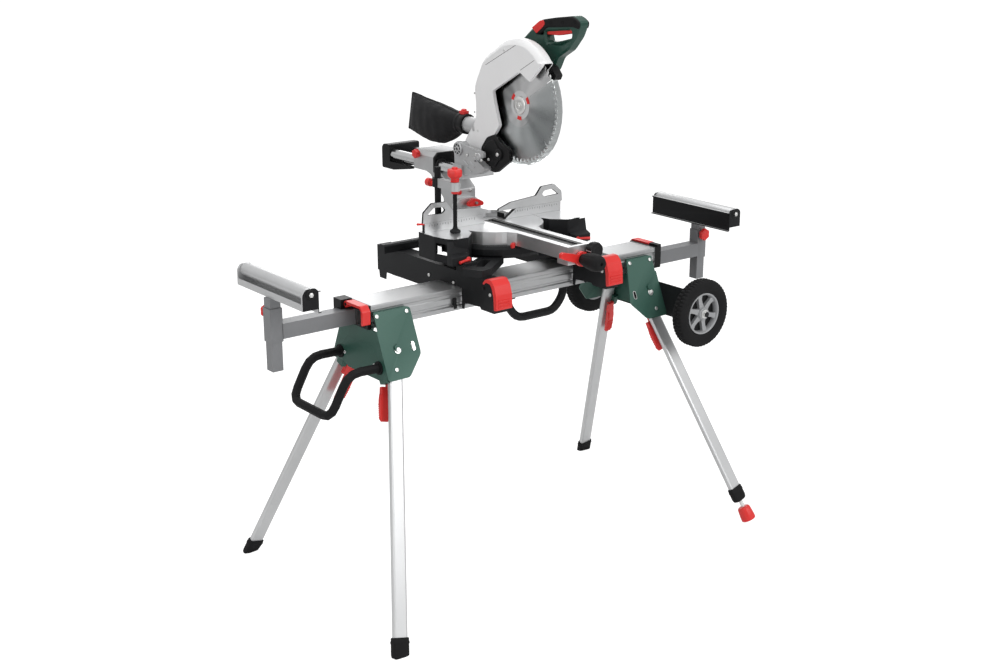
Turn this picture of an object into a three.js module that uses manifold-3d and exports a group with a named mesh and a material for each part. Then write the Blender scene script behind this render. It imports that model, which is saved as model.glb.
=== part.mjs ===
// A sliding mitre saw bolted to a folding, wheeled saw stand with two roller extensions.
// Millimetres. +X runs along the beam to the operator's right, +Y away from the operator, +Z up.
import * as THREE from "three";
import { mergeVertices } from "three/addons/utils/BufferGeometryUtils.js";
import Module from "manifold-3d";

const wasm = await Module();
wasm.setup();

// ---------------------------------------------------------------- driving dimensions
const seat = 0.3; // gap between separate pieces that touch
const run = 0.8; // clearance round pieces that turn or slide

// beam
const beamLength = 1004;
const beamWidth = 106;
const beamHeight = 60;
const beamTop = 803;
const barMiddle = 2; // half the room between the two extension bars
const edgeRound = 3;
const grooveTop = 12;
const grooveDepth = 4;
const grooveHeight = 10;
const bandStep = 1.5;
const lowerFlange = 11;
const endCap = 10;
const capLip = 1.5;

// trestle housings: folded sheet round each end of the beam
const trestleOuterLeft = 505;
const trestleOuterRight = 480;
const trestleInnerLeft = 389;
const trestleInnerRight = 378;
const trestleFlareRight = 26; // how far the right plates widen towards their foot
const trestleTop = 786;
const trestleBottom = 621;
const trestleChamfer = 50;
const trestleTopHalf = 65;
const sheet = 3;
const sheetCorner = 7;
const railInset = 9;
const railDrop = 8;
const boltHead = 5;
const splay = 0.4307; // sideways run of the side plates for each millimetre down

// legs: flat oval tubes that lie in two neighbouring planes, so that they fold past each other
const legWidth = 40;
const legThickness = 16;
const legWall = 2;
const pivotHeight = 690;
const legHead = 30;
const footSpread = 379;
const leftPivotX = 457;
const leftPivotY = 92.5;
const leftFootX = 653;
const rightPivotX = 438;
const rightPivotY = 69;
const rightFootX = 620;
const pivotBolt = 6;
const legRound = 6;
const capHeight = 44;
const capFloor = 10;
const capWall = 3;
const levellerGap = 34;
const levellerHeight = 42;
const levellerRadius = 20;
const studRadius = 6;
const leverTop = 84;
const leverPinOutLeft = 20;
const leverPinOutRight = 9;
const leverPin = 3;
const leverLength = 98;
const leverWidth = 19;
const lugHeight = 24;

// roller extensions
const barWidth = 40;
const barHeight = 40;
const barWall = 2.5;
const barBottom = 745;
const barInsert = 420;
const clampHub = 8.5;
const clampHubY = 10;
const clampHubZ = 800.5;
const clampPin = 4;
const clampLeverWidth = 24;
const clampDrop = 42;
const collarLeft = 33;
const collarRight = 14;
const collarTop = 811;
const postLeftX = 742;
const postRightX = 714;
const postWidth = 35;
const postWall = 2;
const postBottom = 738;
const postTop = 826;
const innerPost = 30;
const innerPostLength = 190;
const rollerInset = 15; // the roller lies nearer the saw than its post
const rollerLength = 311;
const rollerRadius = 17;
const rollerHeightLeft = 891;
const rollerHeightRight = 901;
const rollerAxle = 5;
const channelDrop = 39; // from the roller's axis down to the channel's floor
const channelWidth = 46;
const channelWall = 2.5;
const lipHeight = 17;
const plateDrop = 50;
const plateHeight = 56;
const plateLip = 6;
const endPlate = 6;
const knobDrop = 14;
const knobScrew = 5;
const heightKnobRadius = 19;
const heightKnobLength = 15;

// wheels and their axle
const wheelX = 515;
const wheelHeight = 643;
const wheelTrack = 470;
const wheelRadius = 102;
const wheelWidth = 40;
const rimRadius = 61;
const axleRadius = 8;
const spokes = 7;
const spokeHalf = 7;
const spokeWidth = 15;
const hubRadius = 19;
const hubHalf = 19;
const tabInset = 31;
const tabY = wheelTrack / 2 - tabInset;
const bracketDrop = 25;
const bracketLow = wheelHeight - bracketDrop;
const bracketHigh = 712;

// handles of round tube
const carryTube = 12;
const carryHalf = 92;
const beamGrip = 12;
const carryRoot = 648;
const carryElbow = 598;
const carryReach = 656;
const carryLow = 544;
const gripY = -38;
const gripLeft = -43;
const gripRight = 159;
const gripLow = 677;

// saw brackets across the beam
const bracketLeftX = -190;
const bracketRightX = 202;
const bracketWidth = 46;
const bracketTop = 846;
const bracketBottom = 764;
const bracketRear = 348;
const bracketFront = 196;
const bracketWall = 3;
const clampWidth = 52;
const rearLow = 771;
const rearFoot = 750;
const hookGap = 3;
const leverPinY = -152;
const leverPinZ = 822;
const leverPinRadius = 4;

// saw: table and base
const tableTop = 932;
const fenceY = 72; // the turntable turns about the fence face
const turntableRadius = 135;
const turntableDepth = 36;
const armHalf = 42;
const armLength = 360;
const armDrop = 49;
const armFlare = 16;
const armFlareStart = 118;
const armFlareEnd = 150;
const armGap = 2;
const insertHalf = 21;
const insertThick = 3;
const kerfHalf = 8;
const kerfDepth = 27;
const kerfFront = 344;
const kerfRear = 24;
const insertFront = 350;
const insertRear = 28;
const channelHalf = 17.5;
const spigot = 12;
const gripZ = -35;
const gripStem = 5;
const gripCollar = 13;
const ringRadius = 150;
const ringDepth = 34;
const wingHalf = 243;
const wingFront = 110;
const wingBack = 27;
const blockDepth = 67;
const baseFloor = 70;
const apronTop = 38;
const apronFront = 128;
const footLevel = tableTop - bracketTop - seat;
const rearBarHalf = 262;
const trunnionHalf = 45;
const trunnionTop = 45;
const trunnionFront = 124;
const bevelX = 14;
const bevelY = 112;
const bevelZ = 33;
const bevelPin = 4;
const wall = 5;
const footRearY = 178;

// fence
const fenceThick = 12;
const fenceHeight = 26;
const fenceGap = 36;
const slideFenceThick = 7;
const slideFenceTop = 79;
const fenceHalf = 240;
const fenceInner = 13;
const bridgeY = 61;
const bridgeTop = 14;
const tongueY = 8;
const tongueThick = 2.4;
const tongueDeep = 12;

// head
const pivotY = 101;
const pivotZ = 195;
const pivotPin = 8;
const pivotBarrel = 19;
const headHalf = 36;
const earHalf = 50;
const bladeY = -111;
const bladeZ = 336;
const bladeRadius = 152.5;
const bladeThick = 2.4;
const teeth = 44;
const toothDepth = 9;
const guardWall = 3;
const guardWallLeft = 10;
const guardLeft = -24;
const guardRight = 14;
const guardCavity = 165;
const lowerGuardRadius = 161;
const lowerGuardHalf = 10;
const lowerGuardWall = 2;
const handleX = 60;
const handleHalf = 17;
const handleBevel = 5;
const fingerLoop = [
  [-157, 530],
  [-262, 541],
  [-262, 520],
  [-226, 503],
  [-167, 500],
];
const triggerY = -195;
const triggerZ = 540;
const triggerHalf = 7;
const buttonDeep = 14;
const buttonFront = 154;
const buttonRear = 120;
const motorY = -2;
const motorZ = 413;
const motorRadius = 42;
const motorEnd = 190;
const gearRadius = 45;
const gearRight = 58;
const outletZ = 256;
const outletEnd = 143;
const outletRadius = 22;
const bossRadius = 26;
const bossLeft = 4;
const shaftRadius = 8;
const shaftEnd = 40;
const flangeRadius = 22;
const guardStart = 150; // angles about the arbor, from the rear over the top
const guardStop = 350;

// slide
const railHalf = 37;
const railRadius = 15;
const railZ = 132;
const railRear = 471;
const railFront = 79;
const carriageFront = 213;
const carriageRear = 309;
const carriageHalf = 57;
const columnHalf = 40;
const columnFront = 143;
const columnRear = 188;
const carriageLow = 112;
const carriageHigh = 168;
const tiltPinRadius = 10;
const railEndFront = 439;
const railEndRear = 479;
const endHalf = 54;
const endLow = 89;
const endHigh = 161;
const skirtFront = 330;
const tiltRadius = 35;

// work clamp
const clampX = -175;
const clampPostY = 28;
const clampPostTop = 170;
const clampPostRadius = 9;
const clampArmZ = 128;
const clampReach = 78;
const spindleRadius = 6;
const spindleY = clampPostY - clampReach;

// ---------------------------------------------------------------- materials
const finish = (color, roughness, metalness) =>
  new THREE.MeshStandardMaterial({ color, roughness, metalness });
const aluminium = finish(0xc9cccf, 0.35, 0.9);
const castAluminium = finish(0xcfd1d3, 0.5, 0.7);
const paleCasing = finish(0xd8d9da, 0.45, 0.2);
const greyPaint = finish(0x85888c, 0.5, 0.4);
const greenPaint = finish(0x2f5247, 0.45, 0.3);
const greenPlastic = finish(0x23463b, 0.5, 0.0);
const blackSteel = finish(0x26272a, 0.5, 0.4);
const blackPlastic = finish(0x1d1e20, 0.6, 0.0);
const redPlastic = finish(0xe8423f, 0.45, 0.0);
const rubber = finish(0x1a1a1b, 0.85, 0.0);
const rimPlastic = finish(0x8d9093, 0.5, 0.1);
const bladeSteel = finish(0xb9bcbf, 0.25, 1.0);
const clearPlastic = finish(0xe6eef0, 0.1, 0.0);
const bagCloth = finish(0x232326, 0.95, 0.0);

// ---------------------------------------------------------------- solids
// A closed geometry, or a solid made before, as a manifold solid with its faces pointing out.
function solid(shape) {
  if (!shape.isBufferGeometry) return shape;
  const bare = shape.clone();
  bare.deleteAttribute("normal");
  bare.deleteAttribute("uv");
  const merged = mergeVertices(bare, 1e-4);
  const index = merged.index.array;
  const faces = [];
  for (let i = 0; i < index.length; i += 3) {
    const [a, b, c] = [index[i], index[i + 1], index[i + 2]];
    if (a !== b && b !== c && c !== a) faces.push(a, b, c);
  }
  const build = (triVerts) =>
    new wasm.Manifold(
      new wasm.Mesh({
        numProp: 3,
        vertProperties: new Float32Array(merged.attributes.position.array),
        triVerts: new Uint32Array(triVerts),
      }),
    );
  const made = build(faces);
  return made.volume() >= 0 ? made : build(faces.reverse());
}
const join = (...shapes) => shapes.map(solid).reduce((a, b) => a.add(b));
const cut = (from, ...tools) => tools.map(solid).reduce((a, b) => a.subtract(b), solid(from));
const common = (a, b) => solid(a).intersect(solid(b));

function geometryOf(made) {
  if (made.isBufferGeometry) made = solid(made);
  const mesh = made.getMesh();
  const points = new Float32Array(mesh.numVert * 3);
  for (let i = 0; i < mesh.numVert; i++) {
    points.set(mesh.vertProperties.subarray(i * mesh.numProp, i * mesh.numProp + 3), i * 3);
  }
  const shared = new THREE.BufferGeometry();
  shared.setAttribute("position", new THREE.BufferAttribute(points, 3));
  shared.setIndex(new THREE.BufferAttribute(new Uint32Array(mesh.triVerts), 1));
  const faceted = shared.toNonIndexed();
  faceted.computeVertexNormals();
  return faceted;
}

function part(name, shape, material, group) {
  const mesh = new THREE.Mesh(geometryOf(shape), material);
  mesh.name = name;
  group.add(mesh);
  return mesh;
}

// ---------------------------------------------------------------- forms
const at = (x, y, z) => new THREE.Vector3(x, y, z);

function block([x0, x1], [y0, y1], [z0, z1]) {
  const made = new THREE.BoxGeometry(Math.abs(x1 - x0), Math.abs(y1 - y0), Math.abs(z1 - z0));
  return made.translate((x0 + x1) / 2, (y0 + y1) / 2, (z0 + z1) / 2);
}

// A closed outline through the points, with each corner rounded by the radius.
function outline(points, radius = 0) {
  const shape = new THREE.Shape();
  const list = points.map(([x, y]) => new THREE.Vector2(x, y));
  list.forEach((corner, i) => {
    const before = list[(i + list.length - 1) % list.length];
    const after = list[(i + 1) % list.length];
    const reach = Math.min(radius, corner.distanceTo(before) / 2.2, corner.distanceTo(after) / 2.2);
    const start = corner.clone().add(before.clone().sub(corner).setLength(reach));
    const end = corner.clone().add(after.clone().sub(corner).setLength(reach));
    if (radius === 0) {
      if (i === 0) shape.moveTo(corner.x, corner.y);
      else shape.lineTo(corner.x, corner.y);
      return;
    }
    if (i === 0) shape.moveTo(start.x, start.y);
    else shape.lineTo(start.x, start.y);
    shape.quadraticCurveTo(corner.x, corner.y, end.x, end.y);
  });
  shape.closePath();
  return shape;
}
const asShape = (form) => (Array.isArray(form) ? outline(form) : form);

function extruded(form, depth, curveSegments = 2) {
  return new THREE.ExtrudeGeometry(asShape(form), { depth, bevelEnabled: false, curveSegments });
}
// An outline given as (y, z), standing between two X values.
function alongX(form, x0, x1, curveSegments) {
  const turn = new THREE.Matrix4().makeBasis(at(0, 1, 0), at(0, 0, 1), at(1, 0, 0));
  return extruded(form, x1 - x0, curveSegments).applyMatrix4(turn).translate(x0, 0, 0);
}
// An outline given as (x, z), standing between two Y values.
function alongY(form, y0, y1, curveSegments) {
  const turn = new THREE.Matrix4().makeBasis(at(1, 0, 0), at(0, 0, 1), at(0, -1, 0));
  return extruded(form, y1 - y0, curveSegments).applyMatrix4(turn).translate(0, y1, 0);
}
// An outline given as (x, y), standing between two Z values.
function alongZ(form, z0, z1, curveSegments) {
  return extruded(form, z1 - z0, curveSegments).translate(0, 0, z0);
}

// A turned form about Z: the profile's points are (radius, z).
const spun = (profile, sides) => turned(profile, sides).rotateX(Math.PI / 2);

function rod(radius, from, to, sides = 16, endRadius = radius) {
  const made = new THREE.CylinderGeometry(endRadius, radius, from.distanceTo(to), sides);
  const turn = new THREE.Quaternion().setFromUnitVectors(at(0, 1, 0), to.clone().sub(from).normalize());
  const middle = from.clone().add(to).multiplyScalar(0.5);
  return made.applyQuaternion(turn).translate(middle.x, middle.y, middle.z);
}

// A turned form about Y: the profile's points are (radius, y).
function turned(profile, sides = 32) {
  return new THREE.LatheGeometry(
    profile.map(([r, y]) => new THREE.Vector2(r, y)),
    sides,
  );
}

// A round tube along a route of points, with a bend at each corner.
function bentTube(points, radius, bend, sides = 10) {
  const centres = [points[0]];
  points.slice(1, -1).forEach((corner, i) => {
    const start = corner.clone().add(points[i].clone().sub(corner).setLength(bend));
    const end = corner.clone().add(points[i + 2].clone().sub(corner).setLength(bend));
    const curve = new THREE.QuadraticBezierCurve3(start, corner, end);
    centres.push(...curve.getPoints(3));
  });
  centres.push(points[points.length - 1]);
  return sweep(centres, radius, sides);
}

// A round section carried along a list of points, turned as little as possible from one to the next.
function sweep(centres, radius, sides) {
  let side = null;
  const rings = centres.map((centre, i) => {
    const before = centres[Math.max(0, i - 1)];
    const after = centres[Math.min(centres.length - 1, i + 1)];
    const along = after.clone().sub(before).normalize();
    const guide = side || (Math.abs(along.y) < 0.9 ? at(0, 1, 0) : at(1, 0, 0));
    side = guide.clone().addScaledVector(along, -guide.dot(along)).normalize();
    const up = along.clone().cross(side);
    return Array.from({ length: sides }, (_, k) => {
      const angle = (2 * Math.PI * k) / sides;
      const point = centre.clone().addScaledVector(side, radius * Math.cos(angle));
      return point.addScaledVector(up, radius * Math.sin(angle));
    });
  });
  return loft(rings);
}

// A ring's points in its own plane.
function inPlane(ring) {
  const centre = ring.reduce((sum, p) => sum.add(p), at(0, 0, 0)).divideScalar(ring.length);
  const arms = ring.map((p) => p.clone().sub(centre));
  const up = at(0, 0, 0);
  arms.forEach((arm, i) => up.add(arm.clone().cross(arms[(i + 1) % arms.length])));
  up.normalize();
  const across = arms[0].clone().addScaledVector(up, -arms[0].dot(up)).normalize();
  const over = up.clone().cross(across);
  return arms.map((arm) => new THREE.Vector2(arm.dot(across), arm.dot(over)));
}

// A skin over rings of equal length, closed by a flat face on the first and on the last.
function loft(rings) {
  const count = rings[0].length;
  const last = (rings.length - 1) * count;
  const faces = [];
  for (let row = 0; row < last; row += count) {
    for (let k = 0; k < count; k++) {
      const a = row + k;
      const b = row + ((k + 1) % count);
      faces.push(a, b, b + count, a, b + count, a + count);
    }
  }
  THREE.ShapeUtils.triangulateShape(inPlane(rings[0]), []).forEach(([a, b, c]) => {
    faces.push(c, b, a);
    faces.push(a + last, b + last, c + last);
  });
  const made = new THREE.BufferGeometry();
  const points = rings.flat().flatMap((p) => p.toArray());
  made.setAttribute("position", new THREE.Float32BufferAttribute(points, 3));
  made.setIndex(faces);
  return made;
}

// ---------------------------------------------------------------- groups
const object = new THREE.Group();
const stand = new THREE.Group();
const saw = new THREE.Group(); // its origin is the turntable's centre on the table top
saw.position.set(0, fenceY, tableTop);
object.add(stand, saw);

// ---------------------------------------------------------------- stand
const beamHalf = beamWidth / 2;
const beamBottom = beamTop - beamHeight;
const beamEnd = beamLength / 2;
const grooveLow = beamTop - grooveTop - grooveHeight;
const barY = barWidth / 2 + barMiddle;
const chamber = (y) => [
  [y - barWidth / 2 - run, y + barWidth / 2 + run],
  [barBottom - seat, barBottom + barHeight + run],
];

function makeBeam() {
  const flank = (side) => [
    [side * (beamHalf - edgeRound), beamTop],
    [side * beamHalf, beamTop - edgeRound],
    [side * beamHalf, grooveLow + grooveHeight],
    [side * (beamHalf - grooveDepth), grooveLow + grooveHeight - edgeRound],
    [side * (beamHalf - grooveDepth), grooveLow],
    [side * (beamHalf - bandStep), grooveLow - edgeRound],
    [side * (beamHalf - bandStep), beamBottom + lowerFlange + grooveHeight],
    [side * (beamHalf - grooveDepth), beamBottom + lowerFlange + grooveHeight - edgeRound],
    [side * (beamHalf - grooveDepth), beamBottom + lowerFlange + edgeRound],
    [side * beamHalf, beamBottom + lowerFlange],
    [side * beamHalf, beamBottom],
  ];
  const section = outline([...flank(1), ...flank(-1).reverse()]);
  const body = alongX(section, -beamEnd, beamEnd);
  const chambers = [-barY, barY].map((y) => {
    const [ys, zs] = chamber(y);
    return block([-beamEnd - endCap - collarLeft - 1, beamEnd + endCap + collarRight + 1], ys, zs);
  });
  const caps = [-1, 1].map((side) =>
    block(
      [side * (beamEnd - 0.5), side * (beamEnd + endCap)],
      [-beamHalf - capLip, beamHalf + capLip],
      [beamBottom - capLip, beamTop + capLip],
    ),
  );
  // each cap carries the pin of its bar clamp, above that end's extension bar
  const pins = [-1, 1].map((side) => {
    const x = side * (beamEnd + endCap - 1);
    const end = side * (beamEnd + endCap + clampLeverWidth + 2 * seat + 1);
    const y = -side * clampHubY;
    return rod(clampPin, at(x, y, clampHubZ), at(end, y, clampHubZ), 12);
  });
  // a collar round each extension bar, beside its clamp
  const collars = [-1, 1].map((side) =>
    block(
      [side * (beamEnd + endCap - 1), side * (beamEnd + endCap + (side < 0 ? collarLeft : collarRight))],
      [-side * (clampHubY + clampHub + run), -side * (beamHalf + capLip)],
      [beamBottom - capLip, collarTop],
    ),
  );
  return cut(join(body, ...caps, ...pins, ...collars), ...chambers);
}
part("beam", makeBeam(), aluminium, stand);

// The trestle housing of one end: two splayed side plates and an end plate, folded from one sheet.
const leverPinOut = (side) => (side < 0 ? leverPinOutLeft : leverPinOutRight);
const halfAt = (z) => trestleTopHalf + splay * (trestleTop - z);
function makeTrestle(side) {
  const outer = side < 0 ? trestleOuterLeft : trestleOuterRight;
  const inner = side < 0 ? trestleInnerLeft : trestleInnerRight;
  const innerLow = inner - (side < 0 ? 0 : trestleFlareRight);
  const wallRun = sheet * Math.hypot(1, splay);
  const trapezoid = (inset, low, high) => [
    [-halfAt(low) + inset, low],
    [halfAt(low) - inset, low],
    [halfAt(high) - inset, high],
    [-halfAt(high) + inset, high],
  ];
  const span = (a, b) => [Math.min(side * a, side * b), Math.max(side * a, side * b)];
  const shell = cut(
    alongX(trapezoid(0, trestleBottom, trestleTop), ...span(innerLow, outer)),
    alongX(trapezoid(wallRun, trestleBottom - 20, trestleTop + 20), ...span(innerLow - 1, outer - sheet)),
    block(span(outer - sheet - 1, outer + 1), [-halfAt(beamBottom), halfAt(beamBottom)], [
      beamBottom - capLip - seat,
      trestleTop + 1,
    ]),
  );
  const face = outline(
    [
      [side * outer, trestleTop],
      [side * inner, trestleTop],
      [side * innerLow, trestleBottom + trestleChamfer],
      [side * (innerLow + trestleChamfer), trestleBottom],
      [side * outer, trestleBottom],
    ],
    sheetCorner,
  );
  const reach = halfAt(trestleBottom) + 1;
  const housing = common(shell, alongY(face, -reach, reach));
  const extras = [-1, 1].flatMap((end) => {
    const { pivot, normal } = legFrame(side, end);
    const rail = block(
      span(inner + railInset, outer - railInset),
      [end * (beamHalf + seat), end * (halfAt(trestleTop) - 1)],
      [grooveLow - railDrop, trestleTop],
    );
    const tongue = block(
      span(inner + railInset, outer - railInset),
      [end * (beamHalf - grooveDepth + seat), end * (beamHalf + 2)],
      [grooveLow + seat, trestleTop],
    );
    const plateGap = plateDistance(pivot);
    const inside = pivot.clone().addScaledVector(normal, -legThickness / 2 - seat);
    const spacerEnd = pivot.clone().addScaledVector(normal, legThickness / 2 + seat);
    const plate = pivot.clone().addScaledVector(normal, plateGap);
    const head = plate.clone().addScaledVector(normal, boltHead);
    const nut = inside.clone().addScaledVector(normal, -boltHead);
    const toWorld = placeOnLeg(new THREE.Mesh(), legFrame(side, end)).matrix;
    const out = -side * end; // the leg's own X axis points to this side of the end plate
    const pinY = -legThickness / 2 - leverPinOut(side);
    const lugStart = leverWidth / 2 + seat;
    const lug = block(
      [-out * lugStart, -out * (lugStart + 40)],
      [pinY - 5, -legThickness / 2 - seat],
      [-leverTop - 6, -leverTop + lugHeight],
    );
    const pin = rod(
      leverPin,
      at(out * lugStart, pinY, -leverTop),
      at(-out * (lugStart + 2), pinY, -leverTop),
      10,
    );
    const behind = block(span(inner, outer - 1), [-200, 200], [0, trestleTop]);
    return [
      common(lug.applyMatrix4(toWorld), behind),
      pin.applyMatrix4(toWorld),
      rail,
      tongue,
      rod(pivotBolt, nut, head, 16),
      rod(pivotBolt * 1.7, plate, head, 6),
      rod(pivotBolt * 1.7, nut, inside, 6),
      rod(pivotBolt * 1.9, spacerEnd, plate, 12),
    ];
  });
  return join(housing, ...extras);
}

// Where a leg turns, which way it points, and the normal of the plane it folds in.
function legFrame(side, end) {
  const left = side < 0;
  const pivot = at(
    side * (left ? leftPivotX : rightPivotX),
    end * (left ? leftPivotY : rightPivotY),
    pivotHeight,
  );
  const foot = at(side * (left ? leftFootX : rightFootX), end * footSpread, 0);
  const down = foot.clone().sub(pivot);
  const length = down.length();
  down.normalize();
  const normal = at(0, -down.z * end, Math.abs(down.y)).normalize();
  return { pivot, foot, down, normal, length };
}
// How far a leg's pivot lies inside the outer face of the side plate, along the pivot's own axis.
function plateDistance(pivot) {
  const plateHalf = halfAt(pivot.z);
  return ((plateHalf - Math.abs(pivot.y)) / Math.hypot(1, splay)) - 0.5;
}
part("trestle_left", makeTrestle(-1), greenPaint, stand);
part("trestle_right", makeTrestle(1), greenPaint, stand);

// ---- legs
const rounded = (width, depth, radius) =>
  outline(
    [
      [-width / 2, -depth / 2],
      [width / 2, -depth / 2],
      [width / 2, depth / 2],
      [-width / 2, depth / 2],
    ],
    radius,
  );

function placeOnLeg(mesh, frame) {
  const up = frame.down.clone().negate();
  const across = frame.normal.clone().cross(up);
  mesh.quaternion.setFromRotationMatrix(new THREE.Matrix4().makeBasis(across, frame.normal, up));
  mesh.position.copy(frame.pivot);
  mesh.updateMatrix();
  return mesh;
}

function makeLegSet(side, end) {
  const name = (end < 0 ? "front_" : "rear_") + (side < 0 ? "left" : "right");
  const frame = legFrame(side, end);
  const levelled = side > 0 && end < 0;
  const lift = levelled ? levellerHeight + levellerGap : 0;
  const tubeEnd = -frame.length + lift + capFloor + seat;
  const legMesh = (label, shape, material) => placeOnLeg(part(label, shape, material, stand), frame);

  const inner = -legThickness / 2;
  const pinY = inner - leverPinOut(side);
  const pinZ = -leverTop;
  const tube = cut(
    alongZ(rounded(legWidth, legThickness, legRound), tubeEnd, legHead),
    alongZ(
      rounded(legWidth - 2 * legWall, legThickness - 2 * legWall, legRound - legWall),
      tubeEnd - 1,
      legHead + 1,
    ),
    rod(pivotBolt + run / 2, at(0, -legThickness, 0), at(0, legThickness, 0), 16),
  );
  legMesh("leg_" + name, tube, aluminium);

  const lever = cut(
    alongX(
      outline(
        [
          [pinY - 6, pinZ + 6],
          [pinY + 4.5, pinZ + 6],
          [pinY + 4.5, pinZ - 40],
          [pinY + 1, pinZ - leverLength],
          [pinY - 6, pinZ - leverLength],
          [pinY - 12, pinZ - leverLength * 0.6],
          [pinY - 10, pinZ - 20],
        ],
        4,
      ),
      -leverWidth / 2,
      leverWidth / 2,
      2,
    ),
    rod(leverPin + 0.4, at(-leverWidth, pinY, pinZ), at(leverWidth, pinY, pinZ), 10),
  );
  legMesh("leg_lever_" + name, lever, redPlastic);

  // everything below the floor is cut away, so that each foot rests on a flat face
  const turn = placeOnLeg(new THREE.Mesh(), frame).matrix.clone().invert();
  const floor = block([-2000, 2000], [-2000, 2000], [-200, 0]).applyMatrix4(turn);
  const capRound = legRound + capWall;
  const shoe = alongZ(
    rounded(legWidth + 2 * capWall, legThickness + 2 * capWall, capRound),
    -frame.length + lift - (levelled ? 0 : 20),
    -frame.length + lift + capHeight,
  );
  const socket = alongZ(
    rounded(legWidth + 2 * seat, legThickness + 2 * seat, legRound),
    -frame.length + lift + capFloor,
    -frame.length + lift + capHeight + 1,
  );
  const studTop = -frame.length + lift + capHeight + 30;
  const studHole = rod(studRadius + run / 2, at(0, 0, -frame.length - 30), at(0, 0, studTop + 40), 12);
  legMesh("foot_cap_" + name, cut(shoe, socket, floor, ...(levelled ? [studHole] : [])), rubber);
  if (levelled) {
    const base = rod(
      levellerRadius,
      at(0, 0, -frame.length - 30),
      at(0, 0, -frame.length + levellerHeight),
      20,
      15,
    );
    const stud = rod(studRadius, at(0, 0, -frame.length), at(0, 0, studTop), 12);
    legMesh("levelling_foot", cut(join(base, stud), floor), redPlastic);
  }
}
[-1, 1].forEach((side) => [-1, 1].forEach((end) => makeLegSet(side, end)));

// ---- bar clamps: bent levers that press the extension bars down in the beam's ends
function makeBarClamp(side) {
  const mirror = -side;
  const x0 = side * (beamEnd + endCap + seat);
  const x1 = side * (beamEnd + endCap + seat + clampLeverWidth);
  const y = mirror * clampHubY;
  const arm = outline(
    [
      [y, clampHubZ + clampHub],
      [mirror * -(beamHalf + 4), clampHubZ + clampHub],
      [mirror * -(beamHalf + 16), clampHubZ - 6],
      [mirror * -(beamHalf + 15), clampHubZ - clampDrop],
      [mirror * -(beamHalf + 8), clampHubZ - clampDrop],
      [mirror * -(beamHalf + 8), clampHubZ - 4],
      [mirror * -(beamHalf + 1), clampHubZ + clampHub - 7],
      [y, clampHubZ + clampHub - 8],
    ],
    3,
  );
  const [a, b] = [Math.min(x0, x1), Math.max(x0, x1)];
  return cut(
    join(alongX(arm, a, b), rod(clampHub, at(a, y, clampHubZ), at(b, y, clampHubZ), 16)),
    rod(clampPin + 0.4, at(a - 1, y, clampHubZ), at(b + 1, y, clampHubZ), 12),
  );
}
part("bar_clamp_left", makeBarClamp(-1), redPlastic, stand);
part("bar_clamp_right", makeBarClamp(1), redPlastic, stand);

// ---- roller extensions
function squareTube(width, depth, wallThick, z0, z1, x, y) {
  return cut(
    block([x - width / 2, x + width / 2], [y - depth / 2, y + depth / 2], [z0, z1]),
    block(
      [x - width / 2 + wallThick, x + width / 2 - wallThick],
      [y - depth / 2 + wallThick, y + depth / 2 - wallThick],
      [z0 - 1, z1 + 1],
    ),
  );
}

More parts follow.
